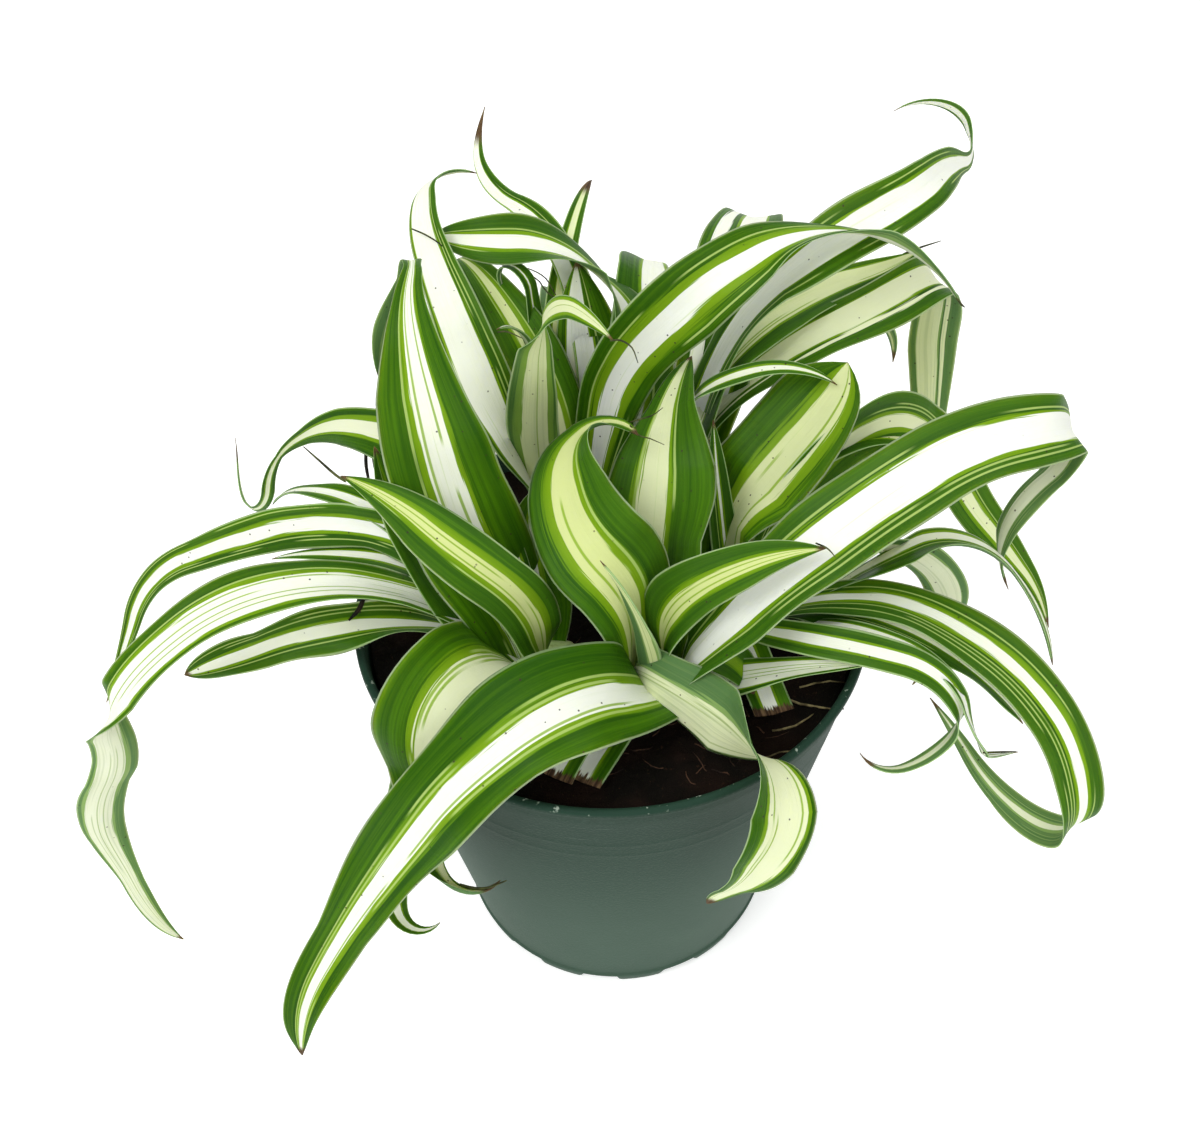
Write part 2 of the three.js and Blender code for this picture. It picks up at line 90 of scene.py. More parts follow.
SOIL_GAP = 0.3
SOIL_STEPS = 256
SOIL_RINGS = 84
SOIL_CENTRE = 0.6                 # radius of the innermost ring
SOIL_WAVES = ((0.55, 16, 10), (0.45, 5, 14), (0.22, 2.2, 16))   # height, wavelength, how many

# ---- the leaves ------------------------------------------
ROOT_LEVEL = 97.3
ROOT_OFFSET = 5
CHANNEL = 0.22                    # depth of the channel, as a share of the half width
CREST = 0.12                      # how far from the rib the channel's bottom is round
SWELL_END = 0.35                  # where along the leaf it has its full width
TIP_ROUND = 0.9                   # under 1 makes a tip blunter
THINNEST = 0.12                   # half width of a blade's very tip
LEAF_THICKNESS = 0.5
LOBE = 0.08                       # how much of its half width an edge's lobes add
LOBE_PACE = 0.7                   # lobes for each wave
WAVE_LENGTHS = (24, 38)           # millimetres, between which each leaf draws its own
RIGHT_PACE = 1.13                 # waves of the right edge for each one of the left
WAVE_START = (0.05, 0.3)          # where along the leaf its waves set in
WAVE_HALF = 4                     # blades of a smaller half width wave less
ROW_STEP = 1.3                    # millimetres between two cross-sections
COLUMNS = 17                      # corners across one face
STEM_SECTION = ((84, 6), (89, 8), (96, 8), (98.8, 7.8), (100.6, 6), (101.4, 3.5))   # height, radius
PLEATS = 7
PLEAT_DEPTH = 0.05

# What the leaves' finish reads from their corners.
LEAF_NUMBERS = ("place", "flat", "band", "second", "lines", "more_lines", "tint", "size")


def blade(length, width, heading, pitch, twist=(0, 0), girth=(1, 1), base=0.5, tip=3, cut=False):
    """One leaf's shape: sizes in millimetres, steering in degrees at even places, as in the part."""
    return dict(length=length, width=width, heading=heading, pitch=pitch, twist=twist, girth=girth,
                base=base, tip=tip, cut=cut)


FRONT_LEAVES = {
    "front_left_long": blade(150, 19.5, [-95, -145, -155, -165, -160, -140, -115],
        [65, 35, -25, -55, -55, -50, -85], base=0.8, tip=6, twist=[-20, -35, -25, -45, -55, -45, -20],
        girth=[1.1, 1.15, 0.9, 0.7, 0.8]),
    "front_right_folded": blade(96, 17.5, [-150, -70, -35, -50, -55, -90, -175, -205, -230],
        [105, 45, -10, 0, 0, -45, -70, -55, -70], base=0.8,
        twist=[-110, -115, -125, -120, -55, -25, -90, -125, -115], girth=[0.65, 0.75, 1.05, 1.2, 1.05]),
    "centre_curled": blade(81, 24, [180, 160, 160, 155, 115, 90, 40, -55],
        [90, 95, 85, 50, 20, 25, 5, -15], base=0.6, twist=[-5, -10, -20, -40, -30, -40, -5],
        girth=[1, 0.95, 1.05, 1, 1.05]),
    "young_right": blade(64, 14, [-55, -30, -15, -5, -5], [100, 95, 55, 30, 5],
        twist=[30, 45, 65, 60, 50], girth=[1, 0.95, 1, 1.05, 1]),
    "young_centre": blade(57, 6, [-100, -130, -150], [80, 75, 65]),
    "centre_upright": blade(74, 26.5, [90, 80, 80, 85, 75, 65], [85, 65, 45, 30, 20, 5], tip=2.6,
        twist=[-20, -25, -30, -5, -25, -20], girth=[1, 1, 1.1, 1, 0.95]),
    "right_great": blade(160, 17.5, [-60, -5, 20, 15, 15, 15, 15, 45, 30, 25, -35],
        [75, 60, 45, 40, 35, 25, 0, -35, -160, -90, -60], base=0.9, twist=[0, 0, 20, 20, 50, 10, -15],
        girth=[0.9, 1, 1.1, 0.95, 0.85]),
    "front_right_low": blade(44, 9.5, [-30, -15, -15, -10], [35, 30, 25, 10], twist=[5, 10, 0, -10]),
    "cut_front": blade(27, 10, [-125, -120, -120], [20, 0, -10], cut=True),
    "cut_front_left": blade(32, 10, [-140, -125, -120], [35, 5, -15], cut=True),
    "front_shoulder": blade(26, 12, [5, -20, -40, -60], [80, 45, -5, -60], base=0.9, tip=5),
}
LEFT_LEAVES = {
    "front_left_broad": blade(100, 25, [-125, -130, -135, -130, -140, -115, -50, 45],
        [70, 55, 20, -60, -95, -75, -30, 20], base=0.9, tip=2, twist=[5, 5, -35, -30, -25, -45, -50],
        girth=[1.05, 1.1, 0.95, 0.85, 0.95]),
    "front_left_hooked": blade(92, 12, [-135, -135, -130, -135, -120, 30], [60, 20, -50, -70, -75, 40]),
    "left_pointed": blade(76, 15, [-95, -165, -180, -210, -210], [85, 85, 50, 30, 0], base=0.7,
        twist=[-40, -65, -65, -30, -5], girth=[0.95, 0.85, 0.95, 1.1, 1]),
    "left_tall": blade(138, 22.5, [150, 155, 145, 140, 125, 105, 85, 115, 180, 215],
        [75, 70, 65, 75, 80, 65, 15, -65, -65, -75], base=0.8, tip=2.2,
        twist=[-10, -15, -30, -40, -20, 35, 80],
        girth=[1.1, 1.15, 1.15, 1.15, 1.1, 1.05, 0.7, 0.25, 0.5, 1.4, 2.2]),
    "left_back_hooked": blade(162, 12, [120, 120, 140, 145, 145, 155, 155, 120, 75],
        [90, 65, 35, 0, -25, -45, -75, -15, 85], twist=[-20, -25, -40, -65, -120, -120, -95],
        girth=[0.6, 0.6, 0.65, 0.75, 0.9, 1, 0.8, 0.4, 0.2, 0.45, 0.4, 0.3, 0.5]),
    "left_upper_arch": blade(153, 10.5, [145, 155, 155, 170, 170, 200, 235],
        [75, 35, -10, -25, -30, -65, -50], base=0.8, twist=[-20, -35, -75, -55, -55, -70, -50],
        girth=[1, 1, 1.05, 0.9, 0.95]),
    "left_long_drop": blade(202, 14, [165, 170, 190, 200, 205, 190, 135, 180, 160, 125, 150],
        [60, 30, 25, 5, -25, -55, -80, -60, -80, -120, -185], base=0.8, tip=5,
        twist=[10, 15, -10, -40, 65, 55, 10], girth=[1, 1, 0.65, 0.95, 1.2]),
    "left_low": blade(80, 10, [150, 185, 195, 185, 180], [25, 20, 10, -20, -25], tip=14,
        twist=[15, 25, -15, -65, -55], girth=[1, 1, 1.05, 0.95, 0.85]),
    "left_behind": blade(90, 8, [145, 150, 145, 135], [45, 40, -15, -55]),
    "left_between": blade(69, 8, [150, 155, 165, 165], [60, 25, -5, -25]),
    "left_inner": blade(40, 14, [90, 115, 100, 50], [80, 70, 55, 35]),
    "left_shaded": blade(62, 15.5, [175, 145, 150, 115], [50, 45, 65, 75], base=0.8, twist=[15, 5, 0, 15],
        girth=[1, 0.95, 1.05, 1.05, 1]),
}
BACK_LEFT_LEAVES = {
    "back_left_loop": blade(109, 13, [200, 190, 155, 125, 115, 110, 85, -15],
        [80, 75, 70, 60, 35, 30, 10, -10], base=0.9, twist=[0, 0, 0, -30, -35, -20, -60],
        girth=[1, 1, 1.05, 1, 1]),
    "back_left_hooked": blade(121, 8.5, [45, 70, 95, 110, 120, 130, 105, 65],
        [70, 75, 65, 50, 20, -5, 10, 45], base=0.7, twist=[0, 0, 0, -5, -15, -15, -10],
        girth=[1, 1, 1, 0.95, 0.95]),
    "back_left_level": blade(109, 18, [0, 35, 90, 150, 190, 115], [65, 70, 65, 35, 10, -30], tip=4,
        twist=[15, 20, 25, 45, -25, -90], girth=[1, 1, 1, 1.1, 1.15]),
    "back_dry_tip": blade(97, 7, [105, 90, 75, 80], [90, 65, 30, -25], twist=[5, 5, 15, 15]),
    "back_left_narrow": blade(84, 15, [105, 125, 135, 120, 115], [100, 85, 60, 15, -30],
        twist=[-5, -5, -10, -15, -10], girth=[1, 1, 1.05, 1.05, 1]),
    "back_upright": blade(63, 20, [45, 90, 105, 105], [65, 70, 70, 70], tip=4),
    "back_folded": blade(98, 14, [10, 35, 55, 75, 90, 85, 80, 75], [65, 65, 65, 60, 30, -15, -50, -70],
        base=0.9, tip=6, twist=[0, 0, 0, 5, 25, 10, 5], girth=[1, 1, 1.05, 1, 1]),
    "pale_curled": blade(100, 12, [-160, -130, -105, -80, -75, -75, -30, -55, -60],
        [75, 85, 85, 75, 70, 70, 70, 10, -5], base=0.8, twist=[0, 0, -5, -15, -20, 65, 45],
        girth=[1, 1.05, 0.95, 0.75, 1]),
    "back_right_arch": blade(137, 17, [20, 25, 10, -5, 0, 25, -5, -15, -10],
        [85, 80, 80, 55, 45, 15, 5, -30, -60], twist=[25, 45, 85, 75, 5, -50, -25],
        girth=[0.95, 0.9, 1.1, 0.95, 0.95]),
    "back_left_sprout": blade(36, 6, [150, 170, 175], [70, 70, 85]),
    "back_left_tip": blade(66, 6, [-265, -220, -165, -130, -115], [55, 75, 90, 70, 20]),
    "back_left_dark": blade(78, 7, [100, 105, 125, 140, 140], [80, 70, 75, 85, -165]),
    "back_hanging": blade(108, 13, [85, 90, 95, 95, 95], [70, 35, 0, -45, -75]),
    "back_left_hanging": blade(98, 12, [120, 120, 120, 125, 125], [65, 30, -5, -45, -70]),
}
BACK_RIGHT_LEAVES = {
    "back_right_folded": blade(109, 18, [30, 40, 60, 75, 75, 75, 75, 75],
        [80, 80, 65, 45, 20, -10, -40, -55], base=0.9, tip=6, twist=[-5, -5, -5, -15, 0, 0, 0],
        girth=[1, 1, 1.05, 1.05, 1]),
    "back_right_hooked": blade(175, 13, [35, 35, 15, 5, 20, 60, 55, 95, 205],
        [90, 80, 65, 45, 20, -10, -25, 15, -20], tip=3.5, twist=[0, 0, 0, 5, 35, 45, 55, 95, 60],
        girth=[1, 1, 1, 1, 1.1, 1.1, 1.05, 0.8, 0.35, 0.75, 0.8]),
    "right_back_slim": blade(101, 14.5, [30, 35, 25, 30, 30, 40], [95, 80, 55, 10, -5, 0],
        twist=[-5, -5, -10, 20, 20, 30], girth=[1, 1, 1.1, 1, 1]),
    "right_back_dropped": blade(164, 14.5, [25, 10, 15, 15, 35, 65, 95, 85, 70],
        [100, 70, 35, 20, 5, -55, -115, -130, -135], twist=[-5, -5, 10, 35, 20, 10, 5],
        girth=[0.95, 0.9, 0.85, 0.9, 0.95, 1, 1.35, 1.35, 1.2]),
    "right_twisted": blade(77, 7, [-75, -60, -30, -5, -5], [95, 95, 65, 20, -40],
        twist=[10, 5, -5, 20, 40], girth=[1, 1, 0.95, 1, 1.05]),
    "right_back_curl": blade(95, 6, [35, 30, 30, 30, 30], [80, 55, 25, -25, -90], tip=6,
        twist=[-5, -5, -5, -15, -20]),
    "back_right_hanging": blade(104, 14, [75, 75, 70, 65, 60], [65, 35, -5, -45, -70]),
}
RIGHT_LEAVES = {
    "centre_dark": blade(44, 7, [110, 105, 95], [75, 65, 60]),
    "right_broad": blade(64, 23, [125, 90, 55, 30, 30, 30, 30, 40], [75, 70, 60, 50, 40, 40, 50, 60],
        tip=12, twist=[-20, -25, -30, 10, 15, 10, 10], girth=[1, 1, 1.05, 1, 1]),
    "right_far": blade(143, 14, [55, 40, 35, 30, 20, -5, -15, -20, -55],
        [80, 60, 40, -5, -50, -65, -50, -50, -65], twist=[45, 55, 75, 45, 70, 70, 75],
        girth=[1, 0.95, 0.95, 1.1, 1]),
    "right_filament": blade(84, 12.5, [-10, -15, -5, -45, -65], [30, 50, 35, -35, -60],
        twist=[-15, -25, -15, -45, -35], girth=[1, 1, 1.05, 0.95, 0.95]),
    "right_front_loop": blade(150, 13, [-40, -25, -15, -30, -45, -60, -75, -60, -50, -55, -40],
        [70, 40, 10, -10, -10, -20, -50, -115, -185, -215, -220], twist=[0, 5, 10, 20, 0, -60, -40],
        girth=[0.95, 0.95, 0.95, 0.95, 0.95]),
    "right_front_curled": blade(104, 7.5, [-100, -70, -40, -25, -15, -20, 15, 20, -15],
        [55, 50, 25, 10, -10, -55, -105, -180, -240], twist=[10, 20, 35, 40, 45, 0, 0],
        girth=[1, 1, 1, 0.85, 0.95]),
    "right_thin": blade(101, 4, [-40, -45, -40, -35, 55, 25], [45, 35, 10, -70, -60, -20]),
    "right_front_wavy": blade(70, 9, [-30, -30, -30, -25], [60, 15, -20, -50]),
    "right_drooping": blade(95, 12, [-10, 0, 5, 20, 20], [95, 30, -40, -85, -125],
        twist=[-20, -35, -70, -75, -45], girth=[1, 1, 1, 1.1, 1.05]),
    "right_under": blade(74, 9, [75, 50, 20, 10, 5], [75, 60, 30, -15, -65]),
    "cut_right": blade(27, 9, [-90, -80, -75], [35, 5, -10], cut=True),
}

# Each crown's node, with its stem's place and its leaves.
CROWNS = {
    "crown_front": ((9, -20), FRONT_LEAVES),
    "crown_left": ((-14, -16), LEFT_LEAVES),
    "crown_back_left": ((-9, 28), BACK_LEFT_LEAVES),
    "crown_back_right": ((15, 31), BACK_RIGHT_LEAVES),
    "crown_right": ((29, -3), RIGHT_LEAVES),
}


def look(middle=0.0, white=0.33, soft=0.25, lines=(), second=(0, -1), drift=0.0, cream=0.1, dry=2.0,
         dull=0.8, wave=0.5):
    """One leaf's finish, its places across the blade from 1 on the left edge to -1 on the right:
    middle and half width of its white band, width of the yellow-green beside it, up to six fine
    lines, middle and half width of a second band, how far both drift from root to tip; how cream
    the white is (on some leaves also painted shade), millimetres of dried tip, how dull its
    underside is (on some leaves low, as painted light on a shaded underside), millimetres that
    its edges wave up and down."""
    six = (list(lines) + [9] * 6)[:6]
    return dict(band=(middle, white, soft), second=(*second, drift), lines=six[:3], more_lines=six[3:],
                cream=cream, dry=dry, dull=dull, wave=wave)


PLAIN = look()                    # for each leaf that LOOKS leaves out
LOOKS = {
    "front_left_long": look(0.12, 0.24, 0.3, (0.3, 0.46, -0.2, -0.32), dry=4, wave=1),
    "front_right_folded": look(0.6, 0.56, 0.2, (0.2, 0.34, 1.02), drift=-0.75, cream=0.6, dry=5),
    "centre_curled": look(0.16, 0.32, 0.4, (0.28, -0.3), drift=-0.1, cream=1),
    "young_right": look(-0.12, 0.24, 0.32, (0.0, -0.22), cream=1),
    "young_centre": look(0.45, 0.3, 0.3, (0.4,), cream=1),
    # painted shade: its high cream darkens its white band where it lies in shade
    "centre_upright": look(0.2, 0.25, 0.22, (0.5, -0.2), cream=0.7),
    "right_great": look(0.02, 0.42, 0.16, (0.62, -0.56, -0.7), cream=0, dry=5),
    "front_right_low": look(0, 0.6, 0.2, (0.3, 0.1, -0.1), cream=0.2),
    "front_left_broad": look(0.15, 0.36, 0.36, (-0.3, -0.17, -0.08), cream=0.6, dry=6, wave=1.4),
    "front_left_hooked": look(dry=0.5),
    "left_pointed": look(-0.05, 0.24, 0.45, (0.12, -0.12, 0.4), cream=1),
    "left_tall": look(0, 0.29, 0.2, (0.2, -0.12, 0.44), cream=0.15),
    "left_shaded": look(0, 0, 0.2, (0.2,)),
    "front_shoulder": look(0, 0, 0.5),
    "left_back_hooked": look(-0.1, 0.3, 0.35, cream=0.4, dry=8),
    "left_upper_arch": look(-0.05, 0.3, 0.3, (-0.8, 0.65, 0.5), cream=0),
    "left_long_drop": look(0.12, 0.58, 0.2, (-0.36, 0.17, -0.62, 0.4, -0.1), cream=0.1),
    "left_low": look(0.02, 0.24, 0.25, (-0.6, 0.5, -0.75), cream=0.1, wave=1.5),
    "left_inner": look(0, 0.1, 0.3),
    "back_left_loop": look(0.2, 0.6, 0.14, (-0.56, -0.72), cream=0.1),
    "back_left_hooked": look(0.35, 0.5, 0.15, (-0.45,), cream=0.1, dry=12),
    "back_left_level": look(0.05, 0.3, 0.25, (0.5, -0.45), cream=0.1),
    "back_dry_tip": look(0, 0.3, 0.2, cream=0.7, dry=14),
    "back_left_narrow": look(0, 0.2, 0.35, (0.3, -0.4), cream=0.8),
    "back_upright": look(0.3, 0.35, 0.1, (-0.3,)),
    "back_folded": look(-0.4, 0.4, 0.3),
    "pale_curled": look(0.1, 0.5, 0.5, (0.2,), cream=0.7, dull=0.4),
    "back_right_arch": look(-0.02, 0.3, 0.5, (0.6, -0.75), cream=0),
    "back_left_dark": look(0, 0.1, 0.2),
    "back_right_folded": look(-0.17, 0.33, 0.12, second=(0.55, 0.14), cream=0.1),
    # painted light: its low dull gives its shaded underside the brighter colours of its top
    "back_right_hooked": look(0, 0.45, 0.14, (0.72, -0.72), cream=0, dull=0.2),
    # painted shade: the high cream on these two also darkens their whites as shade
    "right_back_slim": look(0.1, 0.45, 0.2, (-0.15, -0.25), cream=0.7),
    "right_back_dropped": look(0.2, 0.42, 0.1, second=(-0.44, 0.08), cream=0.5),
    "right_broad": look(-0.2, 0.36, 0.35, (0.0, -0.35), cream=0.8, dry=0),
    "right_far": look(-0.05, 0.22, 0.35, (0.42, 0.55), cream=0.6, dry=4),
    "right_filament": look(0.5, 0.2, 0.2, (0.1,), cream=0.2),
    "right_front_loop": look(0.12, 0.18, 0.3, (0.6, -0.3, -0.45, -0.62), cream=0.1, dry=4),
    "right_front_curled": look(0.05, 0.3, 0.25, cream=0.1, dry=6),
    "right_front_wavy": look(0.3, 0.25, 0.2, (-0.3,), cream=0.2, wave=1.5),
    "right_drooping": look(0, 0.55, 0.15, (0.1, 0.0), cream=0.2),
    "right_under": look(0.3, 0.2, 0.4, cream=1),
    "right_back_curl": look(0, 0.2, 0.5, cream=1, dry=5),
    "right_twisted": look(0, 0.3, 0.3, cream=0.3),
    "centre_dark": look(0, 0.08, 0.3, (0.4,)),
}

# ---- the colours -----------------------------------------
MARGIN_GREEN = (0.018, 0.078, 0.001)
MIDDLE_GREEN = (0.075, 0.205, 0.002)
DULL_GREEN = (0.045, 0.130, 0.012)
LINE_GREEN = (0.420, 0.560, 0.160)
YELLOW_GREEN = (0.180, 0.325, 0.008)
PALE_GREEN = (0.500, 0.640, 0.240)
LEAF_WHITE = (0.880, 0.910, 0.800)
# painted shade: a cream as dark as cream looks in shade, so it is partly cream and partly shade
LEAF_CREAM_AND_SHADE = (0.610, 0.680, 0.285)
FIBRE_GREEN = (0.230, 0.390, 0.006)
UNDER_MARGIN = (0.10, 0.20, 0.07)
UNDER_BORDER = (0.22, 0.34, 0.12)
UNDER_WHITE = (0.62, 0.66, 0.50)
UNDER_CREAM = (0.64, 0.70, 0.36)
UNDER_VEIN = (0.22, 0.31, 0.11)
RIM_GREEN = (0.40, 0.58, 0.26)
SPECK_BROWN = (0.04, 0.03, 0.02)
TIP_DARK = (0.035, 0.018, 0.010)
TIP_LIGHT = (0.16, 0.10, 0.05)
SHEATH_CREAM = (0.42, 0.36, 0.20)
SHEATH_GREEN = (0.40, 0.52, 0.20)
SHEATH_RIB = (0.16, 0.22, 0.06)

# painted light and shade: the wall is lighter at its foot and darker at its shoulder, under the leaves
POT_FOOT_LIT = (0.064, 0.108, 0.078)
POT_SHOULDER_SHADED = (0.022, 0.045, 0.031)
POT_CLOUD = (0.030, 0.062, 0.042)
POT_STIPPLE = (0.085, 0.125, 0.100)
POT_LIP = (0.018, 0.046, 0.030)
POT_SCUFF = (0.34, 0.41, 0.34)
POT_SCRATCH = (0.20, 0.26, 0.22)

PEAT_BLACK = (0.004, 0.003, 0.002)
PEAT_BROWN = (0.012, 0.006, 0.004)
PEAT_GRAIN = (0.050, 0.024, 0.013)
FIBRE_BROWNS = ((0.012, 0.006, 0.004), (0.075, 0.036, 0.020))
STRAW_BROWNS = ((0.06, 0.045, 0.020), (0.26, 0.21, 0.10))
DRIED_GREENS = ((0.020, 0.022, 0.008), (0.080, 0.090, 0.025))
DARK_BROWNS = ((0.003, 0.003, 0.002), (0.020, 0.012, 0.008))

# ---- the leaves' pattern ---------------------------------
# Noises stretched along the blade: turns per millimetre across and along, seed pace, roughness.
STREAKS = (0.45, 0.008, 60, 0.5)
STROKES = (1.6, 0.05, 20, 0.6)
VEINS = (1.3, 0.02, 90, 0.6)
FINE_VEINS = (3.2, 0.05, 30, 0.6)
BAND_EDGE = 0.012                 # half the blur of the white band's edge
LINE_HALF = 0.018                 # half width of a fine line
LINE_BLUR = 0.035                 # where its blur ends
SPECK_PACE = 0.35                 # specks per millimetre, within patches of their own pace
SPECK_PATCHES = 0.03


# ---- shader tools ----------------------------------------
class Signal:
    """A shader socket of a finish. Arithmetic on it adds Math nodes to the finish's tree."""

    def __init__(self, finish, socket):
        self.finish = finish
        self.socket = socket

    def math(self, operation, *others):
        """A Math node on this signal and the others."""
        return self.finish.node("ShaderNodeMath", dict(operation=operation), (self, *others))

    def __add__(self, other):
        return self.math("ADD", other)

    def __sub__(self, other):
        return self.math("SUBTRACT", other)

    def __rsub__(self, other):
        return self.finish.node("ShaderNodeMath", dict(operation="SUBTRACT"), (other, self))

    def __mul__(self, other):
        return self.math("MULTIPLY", other)

    def __truediv__(self, other):
        return self.math("DIVIDE", other)

    def __abs__(self):
        return self.math("ABSOLUTE")

    __radd__ = __add__
    __rmul__ = __mul__

    def above(self, low, high):
        """0 below low, 1 above high, smooth between. With low over high it falls instead."""
        settings = dict(interpolation_type="SMOOTHSTEP")
        return self.finish.node("ShaderNodeMapRange", settings, (self, low, high, 0.0, 1.0))


class Finish:
    """A procedural material on one Principled shader."""

    def __init__(self, name, roughness=0.5, **constants):
        self.material = bpy.data.materials.new(name)
        self.material.use_nodes = True
        self.tree = self.material.node_tree
        self.shader = self.tree.nodes["Principled BSDF"]
        self.shader.inputs["Roughness"].default_value = roughness
        for socket, value in constants.items():
            self.shader.inputs[socket.replace("_", " ")].default_value = value

    def put(self, socket, value):
        """Links a signal to the socket, or sets a constant on it."""
        if isinstance(value, Signal):
            self.tree.links.new(value.socket, socket)
        else:
            socket.default_value = value

    def node(self, kind, settings, values, output=0):
        """Adds a node of that kind; values fill its sockets in order, or by name from a dict."""
        made = self.tree.nodes.new(kind)
        for name, value in settings.items():
            setattr(made, name, value)
        pairs = values.items() if isinstance(values, dict) else enumerate(values)
        for key, value in pairs:
            self.put(made.inputs[key], value)
        return Signal(self, made.outputs[output])

    def attribute(self, name):
        """The X, Y and Z of a mesh attribute, as three signals."""
        vector = self.node("ShaderNodeAttribute", dict(attribute_name=name), (), "Vector")
        return self.parts(vector)

    def parts(self, vector):
        """A vector's X, Y and Z as three signals."""
        split = self.node("ShaderNodeSeparateXYZ", {}, (vector,)).socket.node
        return [Signal(self, output) for output in split.outputs]

    def vector(self, x, y, z):
        """Three numbers or signals as one vector."""
        return self.node("ShaderNodeCombineXYZ", {}, (x, y, z))

    def place(self):
        """Object coordinates, in metres."""
        return self.node("ShaderNodeTexCoord", {}, (), "Object")

    def stretched(self, scales):
        """Object coordinates, each times its own scale."""
        return self.node("ShaderNodeVectorMath", dict(operation="MULTIPLY"), (self.place(), scales))

    def noise(self, vector, scale, detail=2.0, roughness=0.5):
        """Clouds between 0 and 1, about 0.5 on the whole."""
        values = {"Vector": vector, "Scale": scale, "Detail": detail, "Roughness": roughness}
        return self.node("ShaderNodeTexNoise", {}, values, "Fac")

    def cells(self, vector, scale):
        """The distance to the nearest of many scattered spots."""
        return self.node("ShaderNodeTexVoronoi", {}, {"Vector": vector, "Scale": scale}, "Distance")

    def mix(self, factor, first, second):
        """The first colour where factor is 0, the second where it is 1."""
        made = self.tree.nodes.new("ShaderNodeMix")
        made.data_type = "RGBA"
        colours = [s for s in made.inputs if s.type == "RGBA"]
        self.put(made.inputs[0], factor)
        for socket, colour in zip(colours, (first, second)):
            self.put(socket, colour if isinstance(colour, Signal) else (*colour, 1.0))
        output = next(s for s in made.outputs if s.type == "RGBA")
        return Signal(self, output)

    def bump(self, height, millimetres):
        """A normal tilted as if the surface rose by so many millimetres where height is 1."""
        values = {"Strength": 1.0, "Distance": millimetres * MM, "Height": height}
        return self.node("ShaderNodeBump", {}, values)

    def wear(self, **signals):
        """Puts the signals on the shader's sockets and gives back the finished material."""
        for name, signal in signals.items():
            self.put(self.shader.inputs[name.replace("_", " ")], signal)
        return self.material


# ---- mesh tools ------------------------------------------
def make_piece(name, corners, faces, finish, replaces=(), attributes=()):
    """A mesh object from its faces and its corners (n, 3), which are in millimetres."""
    mesh = bpy.data.meshes.new(name)
    mesh.from_pydata((np.asarray(corners) * MM).tolist(), [], [list(face) for face in faces])
    for key, (domain, values) in dict(attributes).items():
        values = np.asarray(values, np.float32)
        kind, field = ("FLOAT_VECTOR", "vector") if values.ndim == 2 else ("FLOAT", "value")
        mesh.attributes.new(key, kind, domain).data.foreach_set(field, values.ravel())
    mesh.polygons.foreach_set("use_smooth", [True] * len(mesh.polygons))
    mesh.materials.append(finish)
    mesh.update()
    piece = bpy.data.objects.new(name, mesh)
    bpy.context.scene.collection.objects.link(piece)
    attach(piece, "root")
    if replaces:
        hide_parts(*replaces)
    return piece


def ring_faces(rows, around, start=0):
    """Quads between neighbouring closed rings of corners, rows of them, around corners each."""
    i, j = np.meshgrid(np.arange(rows - 1), np.arange(around), indexing="ij")
    a = i * around + j
    b = i * around + (j + 1) % around
    return start + np.stack([a, b, b + around, a + around], -1).reshape(-1, 4)


def along(values, t):
    """The value of an evenly spaced list at t in 0..1, straight between its entries."""
    return np.interp(t, np.linspace(0, 1, len(values)), values)


def smoothstep(x, low, high):
    """3 k^2 - 2 k^3, where k runs from 0 at low to 1 at high."""
    k = np.clip((x - low) / (high - low), 0, 1)
    return k * k * (3 - 2 * k)


def on_grid(*values):
    """Three values, each spread over the same grid, as one (n, 3) array."""
    return np.stack(np.broadcast_arrays(*values), -1).reshape(-1, 3)


# ---- the leaves ------------------------------------------
def rib_frame(shape, t):
    """The rib's direction at t, the blade's side and its upper direction, each (n, 3).

    tangent = (cos p cos h, cos p sin h, sin p), side = (-sin h, cos h, 0), up = tangent x side,
    the last two turned round the tangent by the twist."""
    steering = (along(shape[key], t) for key in ("heading", "pitch", "twist"))
    heading, pitch, twist = np.radians(list(steering))
    level = np.stack([np.cos(heading), np.sin(heading), 0 * heading], -1)
    tangent = level * np.cos(pitch)[:, None] + np.array([0, 0, 1]) * np.sin(pitch)[:, None]
    side = np.stack([-np.sin(heading), np.cos(heading), 0 * heading], -1)
    up = np.cross(tangent, side)
    turn, lift = np.cos(twist)[:, None], np.sin(twist)[:, None]
    return tangent, side * turn + up * lift, up * turn - side * lift


def half_width(shape, t):
    """width / 2 * girth * (base swelling to 1 by SWELL_END) * (1 - t^tip)^TIP_ROUND."""
    swell = shape["base"] + (1 - shape["base"]) * smoothstep(t, 0, SWELL_END)
    taper = 1 if shape["cut"] else (1 - t ** shape["tip"]) ** TIP_ROUND
    return np.maximum(THINNEST, shape["width"] / 2 * along(shape["girth"], t) * swell * taper)


